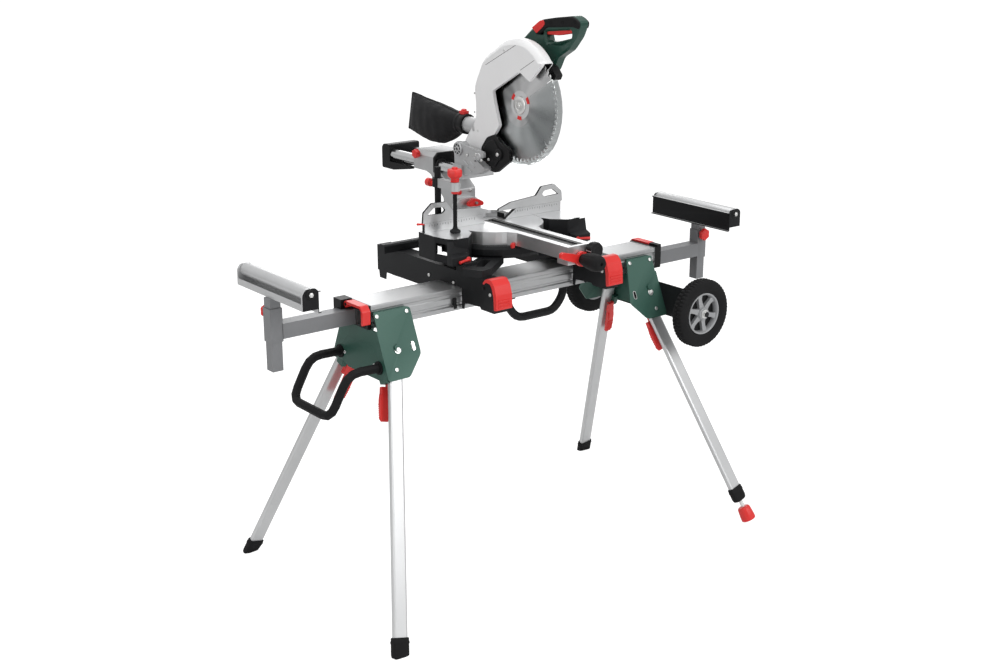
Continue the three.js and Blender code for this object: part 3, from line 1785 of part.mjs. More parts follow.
function makeMotorHousing() {
  const body = outline(
    [
      [-57, 500],
      [-103, 536],
      [-146, 560],
      [-212, 570],
      [-271, 578],
      [-298, 562],
      [-290, 541],
      [-281, 524],
      [-249, 489],
      [-209, 467],
      [-190, 432],
      [-120, 396],
      [-60, 376],
      [0, 376],
      [36, 400],
      [34, 440],
    ],
    8,
  );
  const loop = new THREE.Path();
  const hole = outline(fingerLoop, 8).getPoints(2);
  loop.setFromPoints(hole);
  body.holes.push(loop);
  const slab = new THREE.ExtrudeGeometry(body, {
    depth: 2 * handleHalf - 2 * handleBevel,
    bevelEnabled: true,
    bevelThickness: handleBevel,
    bevelSize: handleBevel,
    bevelOffset: -handleBevel,
    bevelSegments: 1,
    curveSegments: 2,
  });
  const turn = new THREE.Matrix4().makeBasis(at(0, 1, 0), at(0, 0, 1), at(1, 0, 0));
  slab.applyMatrix4(turn).translate(handleX - handleHalf + handleBevel, 0, 0);
  const motor = rod(
    motorRadius,
    at(gearRight + seat, motorY, motorZ),
    at(motorEnd - 14, motorY, motorZ),
    32,
  );
  const tail = rod(
    motorRadius,
    at(motorEnd - 15, motorY, motorZ),
    at(motorEnd, motorY, motorZ),
    32,
    motorRadius - 9,
  );
  const pocket = alongX(
    [
      [-186, 556],
      [-241, 558],
      [-241, 528],
      [-186, 520],
    ],
    handleX - triggerHalf - 1,
    handleX + triggerHalf + 1,
  );
  const trigPin = rod(
    2.5,
    at(handleX - triggerHalf - 3, triggerY, triggerZ),
    at(handleX + triggerHalf + 3, triggerY, triggerZ),
    10,
  );
  const buttonPocket = alongX(
    outline(
      [
        [-buttonFront - seat, 521 - seat],
        [-buttonRear + seat, 521 - seat],
        [-buttonRear + seat, 548 + seat],
        [-buttonFront - seat, 548 + seat],
      ],
      5,
    ),
    handleX - handleHalf - 1,
    handleX - handleHalf + buttonDeep,
    2,
  );
  return join(
    cut(join(slab, motor, tail), gearCase(0.5, 0, gearRight + seat), pocket, buttonPocket),
    trigPin,
  );
}
part("motor_housing", makeMotorHousing(), greenPlastic, saw);

part(
  "trigger",
  cut(
    alongX(
      outline(
        [
          [-189, 547],
          [-238, 549],
          [-236, 536],
          [-218, 527],
          [-190, 531],
        ],
        3,
      ),
      handleX - triggerHalf,
      handleX + triggerHalf,
      2,
    ),
    rod(2.9, at(0, triggerY, triggerZ), at(100, triggerY, triggerZ), 10),
  ),
  redPlastic,
  saw,
);
part(
  "lock_button",
  alongX(
    outline(
      [
        [-buttonFront, 521],
        [-buttonRear, 521],
        [-buttonRear, 548],
        [-buttonFront, 548],
      ],
      5,
    ),
    handleX - handleHalf - 4,
    handleX - handleHalf + buttonDeep - 6,
    2,
  ),
  redPlastic,
  saw,
);

// The blade with its flanges, bolt and shaft.
function makeBlade() {
  const rim = Array.from({ length: teeth }, (_, k) => {
    const step = (2 * Math.PI) / teeth;
    const point = (radius, angle) => [bladeY + radius * Math.cos(angle), bladeZ + radius * Math.sin(angle)];
    const start = k * step;
    return [
      point(bladeRadius - toothDepth, start),
      point(bladeRadius, start + step * 0.12),
      point(bladeRadius - 1.5, start + step * 0.42),
      point(bladeRadius - toothDepth + 2, start + step * 0.8),
    ];
  }).flat();
  const hub = (x) => at(x, bladeY, bladeZ);
  const disc = alongX(rim, -bladeThick / 2, bladeThick / 2);
  const outer = rod(flangeRadius, hub(-bladeThick / 2 + 0.1), hub(-6), 24, flangeRadius - 3);
  const inner = rod(flangeRadius - 2, hub(bladeThick / 2 - 0.1), hub(bossLeft - seat), 24);
  const bolt = rod(9, hub(-5.5), hub(-12), 6);
  const shaft = rod(shaftRadius, hub(bossLeft - 1), hub(shaftEnd), 16);
  return join(disc, outer, inner, bolt, shaft);
}
part("blade", makeBlade(), bladeSteel, saw);

// The clear lower guard: a rim over part of the circle between two side walls.
function makeLowerGuard() {
  const radians = Math.PI / 180;
  const fan = (radius, x0, x1) => {
    const points = [[bladeY, bladeZ]];
    const steps = 20;
    for (let k = 0; k <= steps; k++) {
      const angle = (guardStart + ((guardStop - guardStart) * k) / steps) * radians;
      points.push([bladeY + radius * Math.cos(angle), bladeZ + radius * Math.sin(angle)]);
    }
    return alongX(points, x0, x1);
  };
  const hub = (x) => at(x, bladeY, bladeZ);
  const h = lowerGuardHalf;
  const w = lowerGuardWall;
  const inside = rod(lowerGuardRadius - w, hub(-h + w), hub(h - w), 40);
  const leftHole = rod(58, hub(-h - 1), hub(0), 24);
  const shell = cut(fan(lowerGuardRadius, -h, h), inside, leftHole);
  const ring = rod(bossRadius + 16, hub(h - w), hub(h), 28);
  return cut(join(shell, ring), rod(bossRadius + run, hub(0), hub(h + 1), 24));
}
part("lower_guard", makeLowerGuard(), clearPlastic, saw);

// The dust bag hangs from the outlet by its collar.
function makeDustBag() {
  const corner = 0.6; // 1 gives an ellipse, less a squarer section
  const squared = (v) => Math.sign(v) * Math.abs(v) ** corner;
  const section = ([y, low, high, half]) =>
    Array.from({ length: 16 }, (_, k) => {
      const angle = (Math.PI * (k + 0.5)) / 8;
      const middle = outletZ + (low + high) / 2;
      return at(
        half * squared(Math.cos(angle)),
        outletEnd + y,
        middle + ((high - low) / 2) * squared(Math.sin(angle)),
      );
    });
  // along the bag from its neck to the flat seam at its end: distance, low, high, half width
  const rings = [
    [3, -26, 27, 25],
    [20, -38, 30, 34],
    [75, -68, 38, 40],
    [150, -60, 48, 40],
    [215, -50, 56, 28],
    [242, -44, 60, 9],
  ].map(section);
  const collar = rod(outletRadius + 6, at(0, outletEnd - 22, outletZ), at(0, outletEnd + 6, outletZ), 24);
  const socket = rod(
    outletRadius + seat,
    at(0, outletEnd - 24, outletZ),
    at(0, outletEnd + seat, outletZ),
    24,
  );
  return join(loft(rings), cut(collar, socket));
}
part("dust_bag", makeDustBag(), bagCloth, saw);

// ---------------------------------------------------------------- work clamp
function makeClampPost() {
  const foot = at(clampX, clampPostY, -blockDepth + 20);
  const top = at(clampX, clampPostY, clampPostTop);
  const armSpan = [clampArmZ - 12, clampArmZ + 12];
  const arm = block([clampX - 9, clampX + 9], [clampPostY - clampReach - 12, clampPostY + 12], armSpan);
  const flare = rod(15, at(clampX, clampPostY, armSpan[0]), at(clampX, clampPostY, armSpan[1]), 20);
  const boss = rod(14, at(clampX, spindleY, armSpan[0]), at(clampX, spindleY, armSpan[1]), 20);
  const sideKnob = join(
    rod(11.5, at(clampX, clampPostY + 30, clampArmZ - 6), at(clampX, clampPostY + 46, clampArmZ - 6), 12),
    rod(5, at(clampX, clampPostY + 10, clampArmZ - 6), at(clampX, clampPostY + 32, clampArmZ - 6), 10),
  );
  const flange = rod(clampPostRadius + 6, at(clampX, clampPostY, seat), at(clampX, clampPostY, 6), 20);
  return cut(
    join(rod(clampPostRadius, foot, top, 20), arm, flare, boss, sideKnob, flange),
    rod(spindleRadius + run / 2, at(clampX, spindleY, 0), at(clampX, spindleY, 300), 16),
  );
}
part("clamp_post", makeClampPost(), blackSteel, saw);

const spindleAt = (z) => at(clampX, spindleY, z);
part(
  "clamp_screw",
  join(
    rod(14, spindleAt(2), spindleAt(10), 20),
    rod(spindleRadius, spindleAt(8), spindleAt(clampArmZ + 20), 16),
    rod(21, spindleAt(clampArmZ + 18), spindleAt(clampArmZ + 40), 12, 19),
    rod(12, spindleAt(clampArmZ + 38), spindleAt(clampArmZ + 52), 12, 9),
  ),
  redPlastic,
  saw,
);

// the frame's origin lies on the floor under the middle of the whole
const whole = new THREE.Box3().setFromObject(object, true);
object.position.set(-(whole.min.x + whole.max.x) / 2, -(whole.min.y + whole.max.y) / 2, 0);

export default new THREE.Group().add(object);
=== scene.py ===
import math
import bmesh
import bpy
from mathutils import Matrix, Vector, noise


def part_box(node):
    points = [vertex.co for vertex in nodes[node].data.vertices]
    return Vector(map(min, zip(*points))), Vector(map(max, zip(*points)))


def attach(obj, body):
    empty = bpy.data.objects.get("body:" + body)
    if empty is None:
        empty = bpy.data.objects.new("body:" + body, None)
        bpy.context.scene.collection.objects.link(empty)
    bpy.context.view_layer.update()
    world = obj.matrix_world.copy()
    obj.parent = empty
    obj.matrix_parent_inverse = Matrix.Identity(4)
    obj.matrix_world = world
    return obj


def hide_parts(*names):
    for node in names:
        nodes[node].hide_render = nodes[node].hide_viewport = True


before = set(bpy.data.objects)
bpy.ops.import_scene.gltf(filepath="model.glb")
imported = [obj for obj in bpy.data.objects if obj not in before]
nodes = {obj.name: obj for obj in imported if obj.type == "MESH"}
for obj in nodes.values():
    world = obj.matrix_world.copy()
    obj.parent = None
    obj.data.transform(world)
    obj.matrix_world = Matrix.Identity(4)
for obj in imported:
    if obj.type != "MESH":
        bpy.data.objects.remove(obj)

scene = bpy.context.scene
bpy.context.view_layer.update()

# the stand's own axes: x along the beam from its middle, y across it, z up, in millimetres
beamLow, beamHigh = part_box("beam")
standZero = Vector((beamHigh.x - 0.5376, (beamLow.y + beamHigh.y) / 2, 0))


def standAt(x, y, z):
    return standZero + Vector((x, y, z)) / 1000


def sawAt(x, y, z):
    return standAt(x, y + 72, z + 932)  # from the turntable's centre on the table top


# axes of the saw, from the turntable's centre
arbor = dict(y=-111, z=336)
chopPivot = dict(y=101, z=195)
motorAxis = dict(y=-2, z=413)

# finishes, where stretch is (1, 1, 1) and metallic is 0 unless a row says so
finishes = {
    "brushedAluminium": dict(colour=(0.37, 0.375, 0.38), other=(0.50, 0.505, 0.51), patch=9, metallic=0.85,
                             roughness=(0.28, 0.42), grain=1500, stretch=(0.02, 1, 1), bump=0.05),
    "legAluminium": dict(colour=(0.52, 0.525, 0.53), other=(0.62, 0.625, 0.63), patch=7, metallic=0.8,
                         roughness=(0.30, 0.44), grain=1300, stretch=(1, 1, 0.03), bump=0.05),
    "rollerAluminium": dict(colour=(0.50, 0.505, 0.51), other=(0.60, 0.605, 0.61), patch=14, metallic=0.45,
                            roughness=(0.32, 0.44), grain=1700, stretch=(1, 0.02, 1), bump=0.05),
    "machinedAluminium": dict(colour=(0.52, 0.525, 0.53), other=(0.64, 0.645, 0.65), patch=16, metallic=0.85,
                              roughness=(0.24, 0.42), grain=1600, stretch=(1, 0.04, 1), bump=0.06),
    "castAluminium": dict(colour=(0.42, 0.425, 0.43), other=(0.54, 0.545, 0.55), patch=22, metallic=0.7,
                          roughness=(0.38, 0.55), grain=900, bump=0.14),
    "steelRail": dict(colour=(0.50, 0.505, 0.51), other=(0.60, 0.605, 0.61), patch=12, metallic=1.0,
                      roughness=(0.14, 0.24), grain=1500, stretch=(1, 0.02, 1), bump=0.03),
    "zincSteel": dict(colour=(0.66, 0.66, 0.66), other=(0.78, 0.78, 0.76), patch=80, metallic=1.0,
                      roughness=(0.24, 0.38), grain=1200, bump=0.06),
    "paleCasing": dict(colour=(0.77, 0.77, 0.775), other=(0.82, 0.82, 0.825), patch=8,
                       roughness=(0.36, 0.46), grain=1400, bump=0.05, coat=0.15),
    "greyPaint": dict(colour=(0.150, 0.153, 0.160), other=(0.190, 0.194, 0.200), patch=10, metallic=0.25,
                      roughness=(0.36, 0.50), grain=1100, bump=0.08, wear=(0.27, 0.275, 0.285)),
    "greenPaint": dict(colour=(0.020, 0.072, 0.054), other=(0.027, 0.086, 0.064), patch=9, metallic=0.1,
                       roughness=(0.34, 0.46), grain=1000, bump=0.07, wear=(0.10, 0.19, 0.155), gloss=0.3),
    "greenPlastic": dict(colour=(0.008, 0.045, 0.031), other=(0.011, 0.055, 0.039), patch=14,
                         roughness=(0.32, 0.44), grain=1200, bump=0.06, coat=0.2, gloss=0.35),
    "blackCoat": dict(colour=(0.0050, 0.0052, 0.0060), other=(0.0095, 0.0100, 0.0110), patch=12, metallic=0.1,
                      roughness=(0.42, 0.56), grain=900, bump=0.16, wear=(0.035, 0.036, 0.038), gloss=0.16),
    "blackPlastic": dict(colour=(0.0045, 0.0045, 0.0050), other=(0.0085, 0.0085, 0.0090), patch=18,
                         roughness=(0.36, 0.50), grain=1100, bump=0.10, gloss=0.18),
    "softGrip": dict(colour=(0.0050, 0.0050, 0.0055), other=(0.0095, 0.0095, 0.0100), patch=24,
                     roughness=(0.58, 0.72), grain=800, bump=0.22, gloss=0.16),
    "redPlastic": dict(colour=(0.66, 0.022, 0.020), other=(0.74, 0.034, 0.030), patch=16,
                       roughness=(0.32, 0.44), grain=1100, bump=0.06, coat=0.12, gloss=0.35),
    "tyreRubber": dict(colour=(0.0060, 0.0060, 0.0065), other=(0.0120, 0.0120, 0.0125), patch=26,
                       roughness=(0.62, 0.80), grain=700, bump=0.25, gloss=0.14),
    "rimPlastic": dict(colour=(0.30, 0.305, 0.315), other=(0.36, 0.365, 0.37), patch=20, metallic=0.1,
                       roughness=(0.38, 0.50), grain=1100, bump=0.07),
    # bladeSteel's dark colour is the dark sectors of a painted reflection on the blade
    "bladeSteel": dict(colour=(0.80, 0.805, 0.81), other=(0.90, 0.905, 0.91), patch=6, metallic=1.0,
                       roughness=(0.26, 0.36), grain=1400, bump=0.04, radial=0.8, dark=(0.20, 0.205, 0.21)),
    "carbide": dict(colour=(0.62, 0.62, 0.62), other=(0.78, 0.78, 0.78), patch=300, metallic=1.0,
                    roughness=(0.22, 0.34), grain=1800, bump=0.05),
    "bagCloth": dict(colour=(0.0070, 0.0070, 0.0078), other=(0.0140, 0.0140, 0.0150), patch=30,
                     roughness=(0.80, 0.95), grain=1400, bump=0.35, weave=0.0016, sheen=0.06, gloss=0.2),
    "bagTrim": dict(colour=(0.0055, 0.0055, 0.0060), other=(0.0110, 0.0110, 0.0120), patch=60,
                    roughness=(0.72, 0.9), grain=1600, bump=0.3, sheen=0.05, gloss=0.2),
    "seamShadow": dict(colour=(0.006, 0.006, 0.007), other=(0.012, 0.012, 0.012), patch=60,
                       roughness=(0.75, 0.9), grain=900, bump=0.1, gloss=0.1),
    "labelFoil": dict(colour=(0.60, 0.605, 0.61), other=(0.68, 0.685, 0.69), patch=30, metallic=0.3,
                      roughness=(0.30, 0.42), grain=1500, bump=0.03),
}
made = {}


# painted reflection: bright and dark sectors laid round the arbor in the ground disc's base colour, which
# turn with the blade
def paintedReflectionSectors(tree, place, colour, dark):
    def reckon(operation, first, second):
        node = tree.nodes.new("ShaderNodeMath")
        node.operation = operation
        for socket, value in zip(node.inputs, (first, second)):
            if isinstance(value, (int, float)):
                socket.default_value = value
            elif value is not None:
                tree.links.new(value, socket)
        return node.outputs[0]

    hub = sawAt(0, arbor["y"], arbor["z"])
    parts = tree.nodes.new("ShaderNodeSeparateXYZ")
    tree.links.new(place.outputs["Object"], parts.inputs[0])
    angle = reckon("ARCTAN2", reckon("SUBTRACT", parts.outputs["Z"], hub.z),
                   reckon("SUBTRACT", parts.outputs["Y"], hub.y))
    broad = reckon("SINE", reckon("ADD", reckon("MULTIPLY", angle, 2.0), 0.6), None)
    fine = reckon("MULTIPLY", reckon("SINE", reckon("MULTIPLY", angle, 10.0), None), 0.22)
    ramp = tree.nodes.new("ShaderNodeMapRange")
    ramp.inputs["From Min"].default_value, ramp.inputs["From Max"].default_value = -1.1, 1.1
    ramp.inputs["To Min"].default_value, ramp.inputs["To Max"].default_value = 0.0, 0.85
    tree.links.new(reckon("ADD", broad, fine), ramp.inputs["Value"])
    mix = tree.nodes.new("ShaderNodeMix")
    mix.data_type = "RGBA"
    mix.inputs["B"].default_value = (*dark, 1)
    tree.links.new(colour, mix.inputs["A"])
    tree.links.new(ramp.outputs["Result"], mix.inputs["Factor"])
    return mix.outputs["Result"]


def buildFinish(name, look):
    material = bpy.data.materials.new(name)
    material.use_nodes = True
    tree = material.node_tree
    shader = tree.nodes["Principled BSDF"]
    place = tree.nodes.new("ShaderNodeTexCoord")

    def speckle(scale, detail, stretch=None):
        texture = tree.nodes.new("ShaderNodeTexNoise")
        texture.inputs["Scale"].default_value = scale
        texture.inputs["Detail"].default_value = detail
        source = place.outputs["Object"]
        if stretch:
            squeeze = tree.nodes.new("ShaderNodeMapping")
            squeeze.inputs["Scale"].default_value = stretch
            tree.links.new(source, squeeze.inputs["Vector"])
            source = squeeze.outputs["Vector"]
        tree.links.new(source, texture.inputs["Vector"])
        return texture.outputs["Fac"]

    patches = speckle(look["patch"], 4)
    grain = speckle(look["grain"], 2, look.get("stretch", (1, 1, 1)))
    mottle = tree.nodes.new("ShaderNodeMix")
    mottle.data_type = "RGBA"
    mottle.inputs["A"].default_value = (*look["colour"], 1)
    mottle.inputs["B"].default_value = (*look["other"], 1)
    tree.links.new(patches, mottle.inputs["Factor"])
    colour = mottle.outputs["Result"]
    if "wear" in look:
        shape = tree.nodes.new("ShaderNodeNewGeometry")
        ramp = tree.nodes.new("ShaderNodeMapRange")
        ramp.inputs["From Min"].default_value = 0.53
        ramp.inputs["From Max"].default_value = 0.62
        ramp.inputs["To Max"].default_value = 0.4
        tree.links.new(shape.outputs["Pointiness"], ramp.inputs["Value"])
        rubbed = tree.nodes.new("ShaderNodeMix")
        rubbed.data_type = "RGBA"
        rubbed.inputs["B"].default_value = (*look["wear"], 1)
        tree.links.new(colour, rubbed.inputs["A"])
        tree.links.new(ramp.outputs["Result"], rubbed.inputs["Factor"])
        colour = rubbed.outputs["Result"]
    tree.links.new(colour, shader.inputs["Base Color"])
    gloss = tree.nodes.new("ShaderNodeMapRange")
    gloss.inputs["To Min"].default_value, gloss.inputs["To Max"].default_value = look["roughness"]
    tree.links.new(grain, gloss.inputs["Value"])
    tree.links.new(gloss.outputs["Result"], shader.inputs["Roughness"])
    relief = tree.nodes.new("ShaderNodeBump")
    relief.inputs["Strength"].default_value = look["bump"]
    relief.inputs["Distance"].default_value = 0.0004
    tree.links.new(grain, relief.inputs["Height"])
    tree.links.new(relief.outputs["Normal"], shader.inputs["Normal"])
    shader.inputs["Metallic"].default_value = look.get("metallic", 0.0)
    if "radial" in look:
        turn = tree.nodes.new("ShaderNodeTangent")
        turn.direction_type = "RADIAL"
        turn.axis = "X"
        tree.links.new(turn.outputs["Tangent"], shader.inputs["Tangent"])
        shader.inputs["Anisotropic"].default_value = look["radial"]
        # the blade's bright and dark sectors are painted reflection in its base colour
        colour = paintedReflectionSectors(tree, place, colour, look["dark"])
        tree.links.new(colour, shader.inputs["Base Color"])
    if "weave" in look:
        height = tree.nodes.new("ShaderNodeMath")
        height.operation = "MULTIPLY"
        for index, way in enumerate(("Y", "Z")):
            threads = tree.nodes.new("ShaderNodeTexWave")
            threads.bands_direction = way
            threads.inputs["Scale"].default_value = 0.31 / look["weave"]
            threads.inputs["Distortion"].default_value = 0.6
            tree.links.new(place.outputs["Object"], threads.inputs["Vector"])
            tree.links.new(threads.outputs["Fac"], height.inputs[index])
        cloth = tree.nodes.new("ShaderNodeBump")
        cloth.inputs["Strength"].default_value = 0.5
        cloth.inputs["Distance"].default_value = 0.0006
        tree.links.new(height.outputs[0], cloth.inputs["Height"])
        tree.links.new(relief.outputs["Normal"], cloth.inputs["Normal"])
        tree.links.new(cloth.outputs["Normal"], shader.inputs["Normal"])
    if "sheen" in look:
        shader.inputs["Sheen Weight"].default_value = look["sheen"]
    shader.inputs["Specular IOR Level"].default_value = look.get("gloss", 0.5)
    if "coat" in look:
        shader.inputs["Coat Weight"].default_value = look["coat"]
        shader.inputs["Coat Roughness"].default_value = 0.25
    return material


for name, look in finishes.items():
    made[name] = buildFinish(name, look)
print("finishes made:", len(made))


def clearFinish():
    material = bpy.data.materials.new("clearGuardPlastic")
    material.use_nodes = True
    tree = material.node_tree
    shader = tree.nodes["Principled BSDF"]
    shader.inputs["Base Color"].default_value = (0.93, 0.95, 0.95, 1)
    shader.inputs["Transmission Weight"].default_value = 1.0
    shader.inputs["IOR"].default_value = 1.12
    place = tree.nodes.new("ShaderNodeTexCoord")
    smear = tree.nodes.new("ShaderNodeTexNoise")
    smear.inputs["Scale"].default_value = 40
    tree.links.new(place.outputs["Object"], smear.inputs["Vector"])
    gloss = tree.nodes.new("ShaderNodeMapRange")
    gloss.inputs["To Min"].default_value, gloss.inputs["To Max"].default_value = 0.01, 0.06
    tree.links.new(smear.outputs["Fac"], gloss.inputs["Value"])
    tree.links.new(gloss.outputs["Result"], shader.inputs["Roughness"])
    return material


made["clearPlastic"] = clearFinish()

# which finish each CAD piece wears
wears = {
    "beam": "brushedAluminium", "turntable": "machinedAluminium", "kerf_plate": "blackPlastic",
    "saw_base": "blackCoat", "slide_head": "castAluminium", "tilt_column": "castAluminium",
    "head_housing": "paleCasing", "motor_housing": "greenPlastic", "lower_guard": "clearPlastic",
    "wheel_bracket": "blackCoat", "carry_handle": "softGrip", "beam_handle": "blackCoat",
    "clamp_post": "blackCoat", "rail_end": "blackPlastic", "clamp_screw": "redPlastic", "blade": "zincSteel",
    "trigger": "redPlastic", "lock_button": "redPlastic", "mitre_grip": "blackPlastic",
    "mitre_lever": "redPlastic", "bevel_lever": "redPlastic", "dust_bag": "blackPlastic",
}
families = [
    ("trestle_", "greenPaint"), ("leg_lever", "redPlastic"), ("leg_", "legAluminium"),
    ("foot_cap", "tyreRubber"), ("levelling", "redPlastic"),
    ("extension_bar", "greyPaint"), ("roller_post", "greyPaint"), ("roller_channel", "rollerAluminium"),
    ("roller_", "rollerAluminium"), ("height_knob", "redPlastic"), ("tyre_", "tyreRubber"),
    ("rim_", "rimPlastic"), ("machine_bracket", "blackCoat"), ("bracket_lever", "redPlastic"),
    ("bar_clamp", "redPlastic"), ("fence", "machinedAluminium"),
]
for name in sorted(nodes):
    chosen = wears.get(name) or next((look for start, look in families if name.startswith(start)), None)
    if chosen is None:
        print("no finish for", name)
        chosen = "castAluminium"
    piece = nodes[name]
    piece.data.materials.clear()
    piece.data.materials.append(made[chosen])


def paintFaces(name, look, test, place=None):
    piece = nodes[name]
    piece.data.materials.append(made[look])
    index = len(piece.data.materials) - 1
    zero = place(0, 0, 0) if place else standAt(0, 0, 0)
    for face in piece.data.polygons:
        if test((face.center - zero) * 1000, face.normal):
            face.material_index = index


paintFaces("beam", "blackPlastic", lambda p, n: abs(p.x) > 502.5)
for name, saws, post, middle in (("left", 1, -742, 22), ("right", -1, 714, -22)):
    outer = post + saws * 29
    paintFaces("roller_channel_" + name, "blackCoat",
               lambda p, n: saws * (p.x - outer) > 0 and saws * n.x > 0.3 or n.y * (p.y - middle) > 60)
paintFaces("saw_base", "machinedAluminium", lambda p, n: n.z > 0.9 and p.z > -1, sawAt)
paintFaces("turntable", "blackPlastic", lambda p, n: p.y < -361 and p.x > 20, sawAt)
paintFaces("clamp_post", "redPlastic", lambda p, n: p.y > 56 and p.z > 80, sawAt)
paintFaces("slide_head", "steelRail", lambda p, n: p.y > 121, sawAt)
paintFaces("clamp_post", "castAluminium", lambda p, n: p.y < 16 and p.z > 100, sawAt)
for name in ("fence", "fence_slide_left", "fence_slide_right"):
    paintFaces(name, "blackCoat", lambda p, n: n.y > -0.6, sawAt)

roundEdges = dict(width=0.0009, segments=2, sharp=math.radians(38))
for name, piece in nodes.items():
    flat = piece.modifiers.new("flatten", "DECIMATE")
    flat.decimate_type = "DISSOLVE"
    flat.angle_limit = math.radians(0.6)
    flat.delimit = {"MATERIAL"}
    edge = piece.modifiers.new("edges", "BEVEL")
    edge.width = roundEdges["width"]
    edge.segments = roundEdges["segments"]
    edge.limit_method = "ANGLE"
    edge.angle_limit = roundEdges["sharp"]
    edge.use_clamp_overlap = True
    edge.harden_normals = True
    if name.startswith("fence"):
        edge.width, edge.material = 0.003, 1
    even = piece.modifiers.new("even", "WEIGHTED_NORMAL")
    even.keep_sharp = True
    even.weight = 100
    piece.data.shade_smooth()
    piece.data.set_sharp_from_angle(angle=roundEdges["sharp"])
print("CAD pieces dressed:", len(nodes))


# mesh tools, all in millimetres until the piece is placed
def newPiece(name, mesh, look, body, place=standAt, edge=0.0, sharp=38):
    for vertex in mesh.verts:
        vertex.co = place(*vertex.co)
    bmesh.ops.recalc_face_normals(mesh, faces=mesh.faces)
    data = bpy.data.meshes.new(name)
    mesh.to_mesh(data)
    mesh.free()
    piece = bpy.data.objects.new(name, data)
    scene.collection.objects.link(piece)
    for finishName in ([look] if isinstance(look, str) else look):
        data.materials.append(made[finishName])
    if edge:
        bevel = piece.modifiers.new("edges", "BEVEL")
        bevel.width = edge / 1000
        bevel.segments = 2
        bevel.limit_method = "ANGLE"
        bevel.angle_limit = math.radians(sharp)
    data.shade_smooth()
    data.set_sharp_from_angle(angle=math.radians(sharp))
    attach(piece, body)
    return piece


def addRings(mesh, rings, closeEnds=True, tint=0):
    loops = [[mesh.verts.new(point) for point in ring] for ring in rings]
    count = len(loops[0])
    for a, b in zip(loops, loops[1:] if closeEnds else loops[1:] + loops[:1]):
        for k in range(count):
            face = mesh.faces.new((a[k], a[(k + 1) % count], b[(k + 1) % count], b[k]))
            face.material_index = tint
    if closeEnds:
        for loop in (loops[0], loops[-1]):
            face = mesh.faces.new(loop)
            face.material_index = tint
    return loops


def frameFor(axis):
    axis = Vector(axis).normalized()
    side = Vector((0, 0, 1)) if abs(axis.z) < 0.9 else Vector((1, 0, 0))
    u = axis.cross(side).normalized()
    return u, axis.cross(u), axis


def addTurned(mesh, centre, axis, profile, steps=32, tint=0, wave=None, hollow=False):
    u, v, w = frameFor(axis)
    rings = []
    for radius, along in profile:
        ring = []
        for k in range(steps):
            angle = 2 * math.pi * k / steps
            r = radius + (wave(angle, radius, along) if wave else 0)
            ring.append(Vector(centre) + (u * math.cos(angle) + v * math.sin(angle)) * r + w * along)
        rings.append(ring)
    addRings(mesh, rings, not hollow, tint)


def addSlab(mesh, points, axis, low, high, tint=0):
    place = {"x": lambda p, t: (t, p[0], p[1]), "y": lambda p, t: (p[0], t, p[1]),
             "z": lambda p, t: (p[0], p[1], t)}[axis]
    addRings(mesh, [[place(p, t) for p in points] for t in (low, high)], tint=tint)


def addBox(mesh, xs, ys, zs):
    addSlab(mesh, [(xs[0], ys[0]), (xs[1], ys[0]), (xs[1], ys[1]), (xs[0], ys[1])], "z", *zs)


def addTube(mesh, points, radius, steps):
    points = [Vector(p) for p in points]
    rings = []
    u = None
    for i, point in enumerate(points):
        along = (points[min(i + 1, len(points) - 1)] - points[max(i - 1, 0)]).normalized()
        if u is None:
            u = frameFor(along)[0]
        u = (u - along * u.dot(along)).normalized()
        v = along.cross(u)
        r = radius[i] if isinstance(radius, (list, tuple)) else radius
        angles = [2 * math.pi * k / steps for k in range(steps)]
        rings.append([point + (u * math.cos(a) + v * math.sin(a)) * r for a in angles])
    addRings(mesh, rings)


def addBolt(mesh, centre, axis, radius, height):
    head = [(radius, 0), (radius, height * 0.55), (radius * 0.86, height * 0.9), (radius * 0.62, height),
            (radius * 0.5, height), (radius * 0.42, height * 0.35)]
    addTurned(mesh, centre, axis, head, 20)
    # the bottom of the socket is six-sided
    addTurned(mesh, centre, axis, [(radius * 0.30, height * 0.36), (radius * 0.30, height * 0.40)], 6)


# saw blade
blade = dict(teeth=60, radius=152.5, thick=1.8, tip=2.6, gullet=9.5, slots=5, deepGullet=26,
             flange=24, hubDisc=38)


